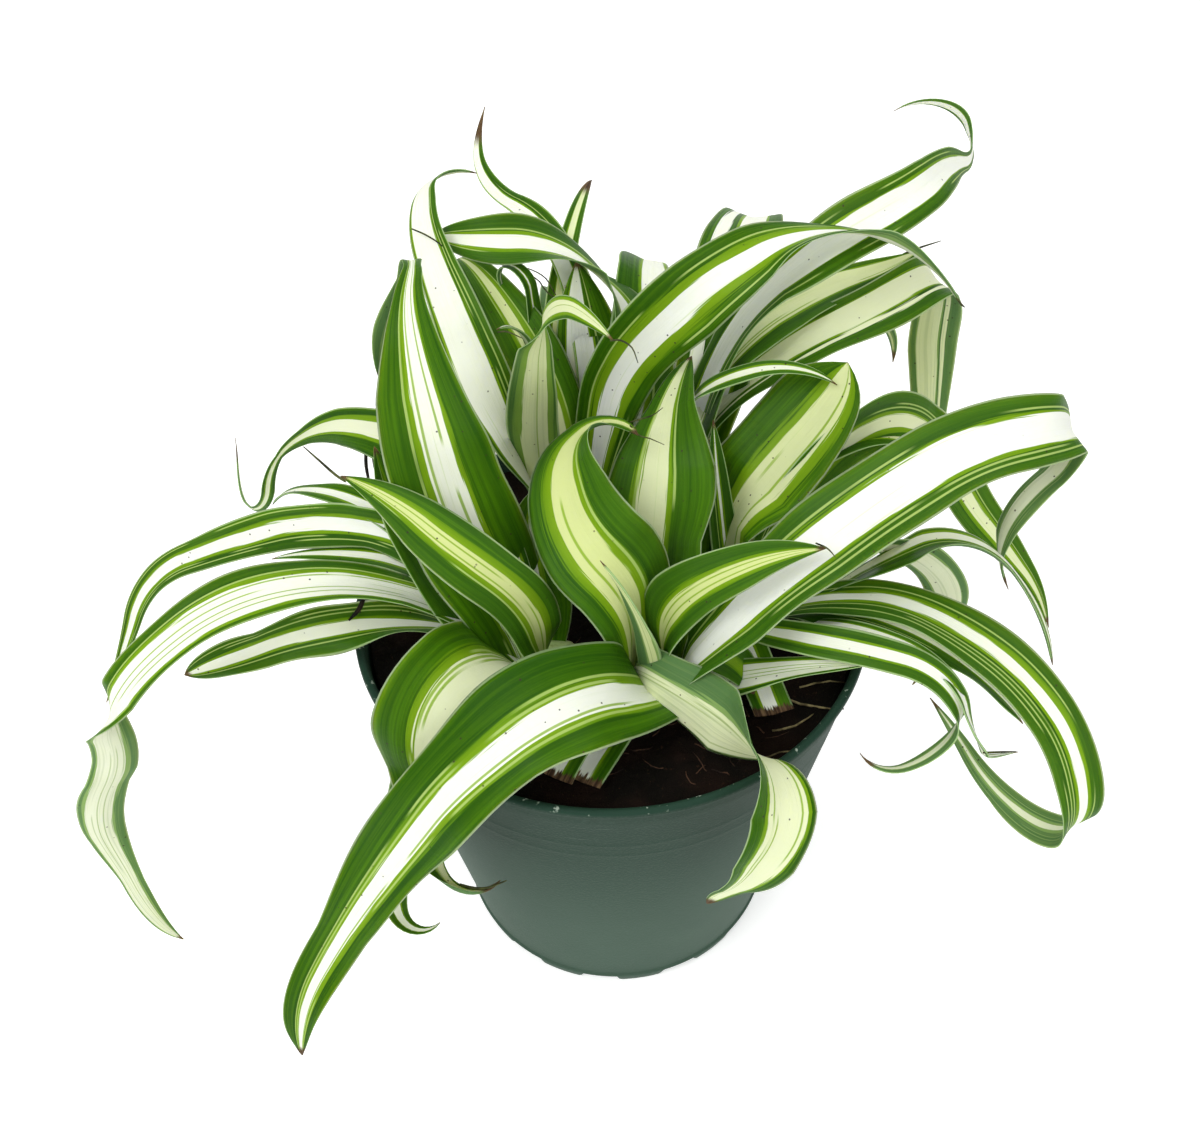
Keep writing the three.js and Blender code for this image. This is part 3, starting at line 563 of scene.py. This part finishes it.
def leaf(shape, finish, crown_spot, rng):
    """One leaf as rings of corners round a thin channelled section carried along its rib.

    At (s, t): rib(t) + side * s * half * (1 + LOBE * wave * s^2 * bulge) + up * (lift +- thickness
    * sqrt(1 - s^4) / 2), with lift = channel * half * (sqrt(s^2 + k^2) - k) + wave * |s|^3 * ripple,
    where k is CREST. Ripple and bulge are sines along the leaf, each side its own, and wave is
    calmed near the root and where the blade is narrow."""
    rows = max(12, int(shape["length"] / ROW_STEP))
    t = np.linspace(0, 1, rows)
    first = math.radians(shape["heading"][0])
    root = np.array([crown_spot[0] + ROOT_OFFSET * math.cos(first),
                     crown_spot[1] + ROOT_OFFSET * math.sin(first), ROOT_LEVEL])
    steps = rib_frame(shape, (t[1:] + t[:-1]) / 2)[0] * shape["length"] / (rows - 1)
    rib = root + np.concatenate([np.zeros((1, 3)), np.cumsum(steps, 0)])
    _, side, up = rib_frame(shape, t)
    half = half_width(shape, t)

    across = np.linspace(1, -1, COLUMNS)
    s = np.concatenate([across, across[-2:0:-1]])
    under = np.concatenate([np.ones(COLUMNS), -np.ones(COLUMNS - 2)])
    lift = CHANNEL * half[:, None] * (np.sqrt(s ** 2 + CREST ** 2) - CREST)
    phase = rng.uniform(0, 2 * math.pi, 2)
    waves = 2 * math.pi * shape["length"] / rng.uniform(*WAVE_LENGTHS) * t[:, None]
    ripple = np.where(s > 0, np.sin(waves + phase[0]), np.sin(RIGHT_PACE * waves + phase[1]))
    bulge = np.sin(LOBE_PACE * waves + np.where(s > 0, phase[1], phase[0]) + 1)
    wave = finish["wave"] * (smoothstep(t, *WAVE_START) * np.minimum(1, half / WAVE_HALF))[:, None]
    lift = lift + wave * np.abs(s) ** 3 * ripple
    spread = half[:, None] * s * (1 + LOBE * wave * s ** 2 * bulge)
    body = np.minimum(LEAF_THICKNESS, half)[:, None] / 2 * np.sqrt(1 - s ** 4) * under
    corners = (rib[:, None] + side[:, None] * spread[..., None]
               + up[:, None] * (lift + body)[..., None])

    around = len(s)
    seed = rng.uniform(0, 1)
    distance = shape["length"] * t[:, None]
    place = on_grid(s, t[:, None], shape["length"] - distance)
    flat = on_grid(half[:, None] * s, distance, 100 * seed)
    below = np.tile(np.arange(around) >= COLUMNS - 1, rows - 1)
    constants = {key: finish[key] for key in ("band", "second", "lines", "more_lines")}
    constants["tint"] = (finish["cream"], seed, finish["dry"])
    constants["size"] = (shape["width"] / 2, shape["length"], finish["dull"])
    return dict(
        corners=corners.reshape(-1, 3),
        faces=ring_faces(rows, around),
        caps=[list(range(around))[::-1], list(range((rows - 1) * around, rows * around))],
        below=below.astype(float),
        place=place,
        flat=flat,
        **{key: np.tile(values, (rows * around, 1)) for key, values in constants.items()},
    )


def leafy_crown(node, spot, shapes, material, rng):
    """All leaves of a crown as one piece, with what the finish reads kept on its corners."""
    leaves = [leaf(shape, LOOKS.get(name, PLAIN), spot, rng) for name, shape in shapes.items()]
    starts = np.cumsum([0] + [len(one["corners"]) for one in leaves])
    faces = [(one["faces"] + start).tolist() for one, start in zip(leaves, starts)]
    faces = [face for group in faces for face in group]
    below = [one["below"] for one in leaves]
    for one, start in zip(leaves, starts):
        faces += [[start + corner for corner in cap] for cap in one["caps"]]
        below.append(np.zeros(len(one["caps"])))
    attributes = {key: ("POINT", np.concatenate([one[key] for one in leaves]))
                  for key in LEAF_NUMBERS}
    attributes["below"] = ("FACE", np.concatenate(below))
    corners = np.concatenate([one["corners"] for one in leaves])
    name = node.replace("crown", "leaves")
    return make_piece(name, corners, faces, material, [node], attributes)


def leaf_finish():
    """Striped leaf: a white band, a yellow-green border and dark green margins, all following the
    blade, with fine lines that turn green where they cross the white and pale elsewhere, a pale
    rim, specks and a dried brown tip. Paler below."""
    f = Finish("striped_leaf", Specular_IOR_Level=0.08, Subsurface_Weight=0.35,
               Subsurface_Radius=(1, 1, 0.5), Subsurface_Scale=0.0015)
    s, t, to_tip = f.attribute("place")
    middle, white_half, soft = f.attribute("band")
    second, second_half, drift = f.attribute("second")
    cream, seed, dry = f.attribute("tint")
    half, length, dull = f.attribute("size")
    flat = f.node("ShaderNodeAttribute", dict(attribute_name="flat"), (), "Vector")
    below = f.node("ShaderNodeAttribute", dict(attribute_name="below"), (), "Fac")

    wander = f.noise(f.vector(t * 2.5, seed * 40, s * 0.5), 1.0, 1.0) - 0.5
    u = s + wander * 0.1
    width = u * half
    reach = t * length
    streaks, strokes, veins, fine = (
        f.noise(f.vector(width * across, reach * lengthwise, seed * pace), 1.0, 2.0, roughness)
        for across, lengthwise, pace, roughness in (STREAKS, STROKES, VEINS, FINE_VEINS))

    # The white bands, with ragged edges, and the fine lines, broken here and there.
    ragged = (streaks - 0.5) * 0.12 + (strokes - 0.5) * 0.24
    outside = abs(u - middle - drift * t) - white_half + ragged
    beside = abs(u - second - drift * t) - second_half + ragged
    bands = [edge.above(BAND_EDGE, -BAND_EDGE) for edge in (outside, beside)]
    white = bands[0].math("MAXIMUM", bands[1])
    fibre = 0.0
    for number, line in enumerate(f.attribute("lines") + f.attribute("more_lines")):
        broken = f.noise(f.vector(reach * 0.03, seed * 70, number * 9.0), 1.0, 1.0)
        strand = abs(u - line - drift * t).above(LINE_BLUR, LINE_HALF) * broken.above(0.42, 0.48)
        fibre = strand.math("MAXIMUM", fibre)

    # The upper face: the greens outside the bands, the whites within them.
    near = (outside / (soft + 0.01)).above(1.0, 0.0)
    border = (near + (veins - 0.5) * 1.1 + (fine - 0.5) * 0.5).above(0.3, 0.6)
    mottle = (streaks - 0.5) * 1.6 + (veins - 0.5) * 1.4 + (fine - 0.5) * 0.8
    margin = f.mix(mottle + 0.32, MARGIN_GREEN, MIDDLE_GREEN)
    margin = f.mix(seed * 0.5, margin, DULL_GREEN)
    light = f.mix(near, MIDDLE_GREEN, YELLOW_GREEN)
    green = f.mix(fibre * 0.8, f.mix(border, margin, light), LINE_GREEN)
    # painted shade: the cream mixed in here is a shaded cream, so it darkens the white as shade too
    pale = f.mix(cream, LEAF_WHITE, LEAF_CREAM_AND_SHADE)
    pale = f.mix(veins.above(0.64, 0.72) * 0.35, pale, PALE_GREEN)
    pale = f.mix(fine.above(0.5, 0.9) * 0.15, pale, PALE_GREEN)
    pale = f.mix(fibre * 0.85, pale, FIBRE_GREEN)
    colour = f.mix(white, green, pale)

    # The underside, and the pale rim of both faces.
    under_green = f.mix(border, UNDER_MARGIN, UNDER_BORDER)
    under = f.mix(white, under_green, f.mix(cream, UNDER_WHITE, UNDER_CREAM))
    under = f.mix(veins.above(0.5, 0.62) * 0.3 + fibre * 0.4, under, UNDER_VEIN)
    colour = f.mix(below * dull, colour, under)
    rim = ((1 - abs(s)) * half).above(0.5, 0.25)
    colour = f.mix(rim * 0.75, colour, RIM_GREEN)

    # Specks and the dried tip.
    speckled = f.noise(flat, SPECK_PATCHES, 1.0).above(0.40, 0.50)
    speck = f.cells(flat, SPECK_PACE).above(0.09, 0.06) * speckled
    colour = f.mix(speck * 0.9, colour, SPECK_BROWN)
    browned = ((to_tip + (fine - 0.5) * 4) / (dry + 0.01)).above(1.0, 0.6)
    brown = f.mix(veins.above(0.35, 0.65), TIP_DARK, TIP_LIGHT)
    colour = f.mix(browned, colour, brown)
    rough = 0.38 + streaks * 0.1 + below * 0.15 + browned * 0.3
    height = fine * 0.5 + veins * 0.6 + f.noise(flat, 0.9, 2.0) * 0.6
    return f.wear(Base_Color=colour, Roughness=rough, Normal=f.bump(height, 0.14))


def stem_finish():
    """Pale sheath bases, greener upwards, ribbed lengthwise."""
    f = Finish("leaf_base")
    ribs = f.noise(f.stretched((900, 900, 60)), 1.0)
    rise = (f.parts(f.place())[2] / MM).above(96.5, 101.0)
    base = f.mix(rise, SHEATH_CREAM, SHEATH_GREEN)
    ribbed = f.mix(ribs.above(0.45, 0.7) * 0.5, base, SHEATH_RIB)
    return f.wear(Base_Color=ribbed, Normal=f.bump(ribs, 0.2))


def stems(material):
    """The crowns' stout stems: rings of radius r(z) * (1 + PLEAT_DEPTH * cos(PLEATS * angle)),
    closed at both ends."""
    level, radius = np.array(STEM_SECTION).T
    turn = np.radians(np.arange(0, 360, 7.5))
    ring = radius[:, None] * (1 + PLEAT_DEPTH * np.cos(PLEATS * turn))
    corners, faces = [], []
    for spot, _ in CROWNS.values():
        start = len(corners) * len(level) * len(turn)
        x = spot[0] + ring * np.cos(turn)
        y = spot[1] + ring * np.sin(turn)
        corners.append(on_grid(x, y, level[:, None]))
        faces += ring_faces(len(level), len(turn), start).tolist()
        top = start + (len(level) - 1) * len(turn)
        faces += [list(range(start, start + len(turn)))[::-1], list(range(top, top + len(turn)))]
    return make_piece("stems", np.concatenate(corners), faces, material)


# ---- dried strands, straw and fibres ---------------------
STRANDS = (                       # thickness and the points each passes through, millimetres
    (0.4, (39, -26, 144), (41, -27.5, 144), (42.5, -29, 143)),
    (0.6, (-51, -11, 150), (-53, -10, 151), (-56, -8, 153), (-59, -6, 155)),
    (0.35, (5, 10, 145), (8, 10, 146), (10, 11, 146), (12, 12, 147)),
    (0.35, (5, 9, 145), (7, 8, 143), (9, 7, 143), (12, 6, 142)),
    (0.4, (1, -6, 178), (3, -6, 178), (5, -7, 177), (6, -9, 175)),
    (0.6, (71, 65, 147), (75, 66, 148), (80, 67, 149)),
    (0.5, (77, -39, 93), (81, -39, 93), (84, -39, 93)),
    (0.7, (-34, -55, 74), (-31, -56, 74), (-28, -56, 74), (-24, -55, 75)),
    (0.35, (-9, 45, 151), (-12, 46, 153), (-14, 48, 155), (-18, 50, 156), (-22, 51, 157)),
    (0.35, (-10, 46, 152), (-12, 48, 155), (-15, 50, 156), (-19, 51, 157)),
    (0.4, (-41, 54, 165), (-38, 53, 164), (-35, 51, 163), (-33, 50, 161)),
    (0.4, (-21, 14, 166), (-19, 14, 166), (-16, 13, 165)),
    (0.5, (75, 32, 158), (76, 31, 157), (77, 31, 156)),
)
DARK_STRANDS = (
    (1.1, (-53, -9, 114), (-54, -11, 113), (-56, -13, 112)),
    (0.8, (-52, 17, 134), (-52, 14, 131), (-51, 10, 126)),
    (1.0, (-50.5, 17, 134), (-50, 14, 131), (-49, 10, 126)),
    (0.8, (-49, 16, 134), (-49, 13, 130), (-47, 9, 125)),
    (1.0, (-47.5, 16, 133), (-47, 13, 130), (-46, 9, 125)),
)
FIBRES = 260                      # loose fibres lying on the soil
FIBRE_SPREAD = 50
ANY_WAY = (0.3, 0.2, 0.93)        # a direction that none of the strands follows
STRAWS = ((38, -33), (42, -28), (36, -40), (45, -22), (-36, -12), (-38, -18), (-33, -8))


def tubes(paths, radii, points, sides, taper):
    """Round tubes of corners about smooth paths (n, points, 3), thinning to taper at their ends.

    At (path, i, a): path(i) + r(i) * (across * cos a + over * sin a), the two directions made
    square to the path from its own slope."""
    slope = np.gradient(paths, axis=1)
    slope = slope / np.linalg.norm(slope, axis=2, keepdims=True)
    over = np.cross(slope, np.array(ANY_WAY))
    over = over / np.linalg.norm(over, axis=2, keepdims=True)
    across = np.cross(over, slope)
    turn = np.linspace(0, 2 * math.pi, sides, endpoint=False)
    thin = taper + (1 - taper) * np.sin(np.linspace(0.9, math.pi - 0.05, points))
    size = (radii[:, None] * thin)[..., None, None]
    ring = across[:, :, None] * np.cos(turn)[:, None] + over[:, :, None] * np.sin(turn)[:, None]
    corners = (paths[:, :, None] + size * ring).reshape(-1, 3)
    faces = []
    for start in range(0, len(corners), points * sides):
        faces += ring_faces(points, sides, start)[:, ::-1].tolist()
        end = start + (points - 1) * sides
        faces += [list(range(start, start + sides)), list(range(end, end + sides))[::-1]]
    return corners, faces


def smooth_path(marks, points):
    """A curve through marks: their cubic blend with slopes taken from their neighbours."""
    marks = np.array(marks, float)
    slope = np.gradient(marks, axis=0)
    place = np.linspace(0, len(marks) - 1, points)
    i = np.minimum(place.astype(int), len(marks) - 2)
    k = (place - i)[:, None]
    return ((2 * k ** 3 - 3 * k ** 2 + 1) * marks[i] + (k ** 3 - 2 * k ** 2 + k) * slope[i]
            + (3 * k ** 2 - 2 * k ** 3) * marks[i + 1] + (k ** 3 - k ** 2) * slope[i + 1])


def strands(name, table, material):
    """The table's strands as one piece of thin tubes."""
    paths = np.stack([smooth_path(marks, 10) for _, *marks in table])
    radii = np.array([thick / 2 for thick, *_ in table])
    corners, faces = tubes(paths, radii, 10, 6, 0.35)
    return make_piece(name, corners, faces, material)


def litter(name, spots, heading, length, bend, radii, material):
    """Bent fibres lying on the soil: at k in -0.5..0.5 each is its length times k away from its
    spot, in the direction heading + bend * k, and 0.6 of its radius above the soil's top."""
    run = np.linspace(-0.5, 0.5, 7)
    angle = heading[:, None] + bend[:, None] * run
    x = spots[:, :1] + length[:, None] * run * np.cos(angle)
    y = spots[:, 1:] + length[:, None] * run * np.sin(angle)
    z = soil_height(x, y) + radii[:, None] * 0.6
    corners, faces = tubes(np.stack([x, y, z], -1), radii, 7, 5, 0.5)
    return make_piece(name, corners, faces, material)


def soil_litter(fibre_look, straw_look):
    """Short dark fibres scattered evenly over the soil, and a few straws where STRAWS says."""
    rng = np.random.default_rng(LITTER_SEED)
    turn = rng.uniform(0, 2 * math.pi, FIBRES)
    out = FIBRE_SPREAD * np.sqrt(rng.uniform(0, 1, FIBRES))
    spots = np.stack([out * np.cos(turn), out * np.sin(turn)], -1)
    heading = rng.uniform(0, math.pi, FIBRES)
    length = rng.uniform(2, 6, FIBRES)
    bend = rng.uniform(-0.8, 0.8, FIBRES)
    radii = rng.uniform(0.08, 0.2, FIBRES)
    litter("peat_fibres", spots, heading, length, bend, radii, fibre_look)
    heading = rng.uniform(-0.6, 1.2, len(STRAWS))
    length = rng.uniform(8, 14, len(STRAWS))
    bend = rng.uniform(-0.4, 0.4, len(STRAWS))
    radii = rng.uniform(0.18, 0.35, len(STRAWS))
    litter("straw", np.array(STRAWS, float), heading, length, bend, radii, straw_look)


def dry_finish(name, dark, light):
    """A dry plant fibre: its dark and its light colour mixed by a fine noise."""
    f = Finish(name, roughness=0.7, Specular_IOR_Level=0.2)
    grain = f.noise(f.place(), 500, 3.0)
    return f.wear(Base_Color=f.mix(grain.above(0.35, 0.65), dark, light), Normal=f.bump(grain, 0.1))


# ---- the pot ---------------------------------------------
def wall_radius(height):
    """The wall's outer radius, straight from BASE_RADIUS at the floor to its top under the lip."""
    top = RIM_RADIUS - LIP_PROUD
    return BASE_RADIUS + (top - BASE_RADIUS) * height / (POT_HEIGHT - LIP_HEIGHT)


def pot_profile():
    """The wall's section as (radius, height) from the floor's middle outside to its middle inside."""
    lip = POT_HEIGHT - LIP_HEIGHT
    ring = BASE_RADIUS - FOOT_RING
    band = wall_radius(FOOT_BAND)
    foot = [(0, FOOT_LIFT), (ring - FOOT_LIFT, FOOT_LIFT), (ring, 0), (BASE_RADIUS, 0),
            (BASE_RADIUS + FOOT_PROUD, 0.5), (band + FOOT_PROUD, FOOT_BAND - 0.5),
            (band + FOOT_PROUD - 0.05, FOOT_BAND - 0.1), (band + 0.05, FOOT_BAND + 0.1),
            (wall_radius(FOOT_BAND + 0.6), FOOT_BAND + 0.6)]
    wall = [(wall_radius(FOOT_BAND + 2), FOOT_BAND + 2)]
    for score in SCORE_LEVELS:
        wall += [(wall_radius(score + off) + proud * SCORE_PROUD, score + off)
                 for off, proud in SCORE_SECTION]
    rim = [(wall_radius(lip - 3) + 0.1, lip - 3), (RIM_RADIUS - 0.85, lip - 0.5),
           (RIM_RADIUS - 0.75, lip + 1.8), (RIM_RADIUS - 0.2, lip + 2.1), (RIM_RADIUS, lip + 2.5),
           (RIM_RADIUS, POT_HEIGHT - 0.7), (RIM_RADIUS - 0.25, POT_HEIGHT - 0.15),
           (RIM_RADIUS - 0.9, POT_HEIGHT), (RIM_RADIUS - 1.6, POT_HEIGHT - 0.25),
           (RIM_RADIUS - 2.1, POT_HEIGHT - 1.2)]
    inside = [(wall_radius(lip) - WALL, lip - 3), (wall_radius(FLOOR) - WALL, FLOOR), (0, FLOOR)]
    return np.array(foot + wall + rim + inside)


def pot(material):
    """The profile turned round Z in even steps, with its two ends on the axis. Where a drain notch
    is, the foot's lowest corners rise by DRAIN_RISE of what they lack to DRAIN_HEIGHT."""
    profile = pot_profile()
    rows = len(profile) - 2
    turn = np.radians(np.arange(POT_STEPS) * 360 / POT_STEPS)
    radius, height = profile[1:-1, :1], profile[1:-1, 1:]
    period = 360 / DRAIN_COUNT
    off = np.radians((np.degrees(turn) - DRAIN_START + period / 2) % period - period / 2)
    notch = smoothstep(np.abs(off) * BASE_RADIUS, DRAIN_WIDTH / 2, DRAIN_WIDTH / 2 - DRAIN_SLOPE)
    outer = (radius >= BASE_RADIUS - FOOT_RING) & (height < FLOOR)
    height = height + outer * (DRAIN_HEIGHT - height) * notch * DRAIN_RISE
    inner = on_grid(radius * np.cos(turn), radius * np.sin(turn), height)
    ends = [[0, 0, profile[0, 1]], [0, 0, profile[-1, 1]]]
    faces = ring_faces(rows, POT_STEPS).tolist()
    low_end, high_end = len(inner), len(inner) + 1
    last = (rows - 1) * POT_STEPS
    j = np.arange(POT_STEPS)
    k = (j + 1) % POT_STEPS
    faces += np.stack([j * 0 + low_end, k, j], -1).tolist()
    faces += np.stack([j * 0 + high_end, last + j, last + k], -1).tolist()
    corners = np.concatenate([inner, ends])
    return make_piece("nursery_pot", corners, faces, material, ["pot"])


def pot_finish():
    """Grey-green moulded plastic: finely stippled, painted darker upwards as the leaves' shade and
    lighter at the foot, scuffed pale on its lip.
    """
    f = Finish("pot_plastic", Specular_IOR_Level=0.06)
    place = f.place()
    level = f.parts(place)[2] / MM
    mottle = f.noise(place, 60, 3.0)
    stipple = f.noise(place, 1700, 2.0, 0.6)
    # painted shade: the wall darkens upwards into the leaves' shade and is lighter at the foot
    body = f.mix(level.above(10, 95), POT_FOOT_LIT, POT_SHOULDER_SHADED)
    body = f.mix((mottle - 0.5) * 0.5 + 0.1, body, POT_CLOUD)
    body = f.mix(stipple.above(0.45, 0.7) * 0.22, body, POT_STIPPLE)
    lip = level.above(POT_HEIGHT - 1.1, POT_HEIGHT - 0.4)
    body = f.mix(lip, body, POT_LIP)
    edge = level.above(POT_HEIGHT - 1.0, POT_HEIGHT - 0.4)
    scuff = f.noise(place, 480, 3.0, 0.6).above(0.62, 0.68) * edge
    body = f.mix(scuff, body, POT_SCUFF)
    scratch = f.noise(f.stretched((60, 60, 1500)), 1.0).above(0.70, 0.78) * level.above(78, 86)
    body = f.mix(scratch * 0.3, body, POT_SCRATCH)
    rough = 0.45 + stipple * 0.2 - lip * 0.1
    return f.wear(Base_Color=body, Roughness=rough, Normal=f.bump(stipple, 0.14))


# ---- the soil --------------------------------------------
def rumple(x, y, wavelength, count, rng):
    """A sum of plane waves of about that wavelength in random directions, between about -1 and 1."""
    heading = rng.uniform(0, 2 * math.pi, count)
    size = 2 * math.pi / (wavelength * rng.uniform(0.6, 1.6, count))
    phase = rng.uniform(0, 2 * math.pi, count)
    waves = np.sin((np.cos(heading) * x[..., None] + np.sin(heading) * y[..., None]) * size + phase)
    return waves.sum(-1) / math.sqrt(count)


def soil_height(x, y):
    """The soil's top at (x, y): its level + swells + |clods| + |crumbs|, each of them a rumple."""
    rng = np.random.default_rng(SOIL_SEED)
    swells, clods, crumbs = (high * rumple(x, y, wavelength, count, rng)
                             for high, wavelength, count in SOIL_WAVES)
    return SOIL_TOP + 0.2 + swells + np.abs(clods) + np.abs(crumbs)


def soil(material):
    """A polar grid of the soil's top over its turned side and flat underside."""
    radius = wall_radius(SOIL_TOP) - WALL - SOIL_GAP
    foot = wall_radius(FLOOR) - WALL - SOIL_GAP
    turn = np.radians(np.arange(SOIL_STEPS) * 360 / SOIL_STEPS)
    rings = np.linspace(radius, SOIL_CENTRE, SOIL_RINGS)[:, None]
    x = rings * np.cos(turn)
    y = rings * np.sin(turn)
    low = on_grid(foot * np.cos(turn), foot * np.sin(turn), FLOOR + SOIL_GAP)
    corners = np.concatenate([low, on_grid(x, y, soil_height(x, y))])
    faces = ring_faces(SOIL_RINGS + 1, SOIL_STEPS).tolist()
    faces += [list(range(SOIL_STEPS))[::-1], list(range(SOIL_RINGS * SOIL_STEPS, len(corners)))]
    return make_piece("peat", corners, faces, material, ["soil"])


def soil_finish():
    """Damp peat: nearly black in patches, brown in others, with reddish grains."""
    f = Finish("peat", roughness=0.95, Specular_IOR_Level=0.1)
    place = f.place()
    grain = f.noise(place, 700, 5.0, 0.7)
    patch = f.noise(place, 90, 3.0)
    colour = f.mix(patch.above(0.4, 0.7), PEAT_BLACK, PEAT_BROWN)
    colour = f.mix(grain.above(0.62, 0.74), colour, PEAT_GRAIN)
    return f.wear(Base_Color=colour, Normal=f.bump(grain, 0.8))


# ---- camera, floor and light -----------------------------
def camera():
    """The camera's axes from its two angles: ahead tilted down, right and up turned by the roll."""
    down, roll = math.radians(CAMERA_DOWN), math.radians(CAMERA_ROLL)
    right = Vector((1, 0, 0))
    up = Vector((0, math.sin(down), math.cos(down)))
    ahead = Vector((0, math.cos(down), -math.sin(down)))
    turned_right = right * math.cos(roll) + up * math.sin(roll)
    turned_up = up * math.cos(roll) - right * math.sin(roll)
    lens = bpy.data.cameras.new("camera")
    lens.sensor_width = SENSOR
    lens.lens = SENSOR * FOCAL_PIXELS / PHOTO_WIDTH
    lens.clip_start = NEAREST
    eye = bpy.data.objects.new("camera", lens)
    bpy.context.scene.collection.objects.link(eye)
    turn = Matrix((turned_right, turned_up, -ahead)).transposed()
    eye.matrix_world = Matrix.Translation(Vector(CAMERA_SPOT) * MM) @ turn.to_4x4()
    bpy.context.scene.camera = eye


def floor():
    """A pale floor that glows a little, as the lit table of a light tent does."""
    f = Finish("pale_floor", roughness=0.9, Base_Color=(0.9, 0.9, 0.9, 1), Emission_Color=(1, 1, 1, 1),
               Emission_Strength=FLOOR_GLOW, Specular_IOR_Level=0.0)
    mesh = bpy.data.meshes.new("floor")
    signs = ((-1, -1), (1, -1), (1, 1), (-1, 1))
    corners = [(FLOOR_REACH * x, FLOOR_REACH * y, 0) for x, y in signs]
    mesh.from_pydata(corners, [], [(0, 1, 2, 3)])
    mesh.materials.append(f.material)
    ground = bpy.data.objects.new("floor", mesh)
    bpy.context.scene.collection.objects.link(ground)


def lights():
    """An even white all round and the soft square lamps, all aimed at the plant."""
    world = bpy.data.worlds.new("studio")
    world.use_nodes = True
    background = world.node_tree.nodes["Background"]
    background.inputs["Color"].default_value = (1.0, 1.0, 1.0, 1)
    background.inputs["Strength"].default_value = SKY
    bpy.context.scene.world = world
    for name, spot, size, power in LAMPS:
        lamp = bpy.data.lights.new(name, "AREA")
        lamp.size = size
        lamp.energy = power
        holder = bpy.data.objects.new(name, lamp)
        holder.location = spot
        aim = Vector(LAMP_TARGET) - Vector(spot)
        holder.rotation_euler = aim.to_track_quat("-Z", "Y").to_euler()
        bpy.context.scene.collection.objects.link(holder)
    bpy.context.scene.view_settings.view_transform = "Standard"


# ---- the plant -------------------------------------------
camera()
floor()
lights()
leaf_rng = np.random.default_rng(LEAF_SEED)
striped = leaf_finish()
for node, (spot, shapes) in CROWNS.items():
    leafy_crown(node, spot, shapes, striped, leaf_rng)
stems(stem_finish())
strands("dried_strands", STRANDS, dry_finish("dried_leaf", *DRIED_GREENS))
strands("dark_strands", DARK_STRANDS, dry_finish("dark_leaf", *DARK_BROWNS))
pot(pot_finish())
soil(soil_finish())
soil_litter(dry_finish("fibre", *FIBRE_BROWNS), dry_finish("straw", *STRAW_BROWNS))
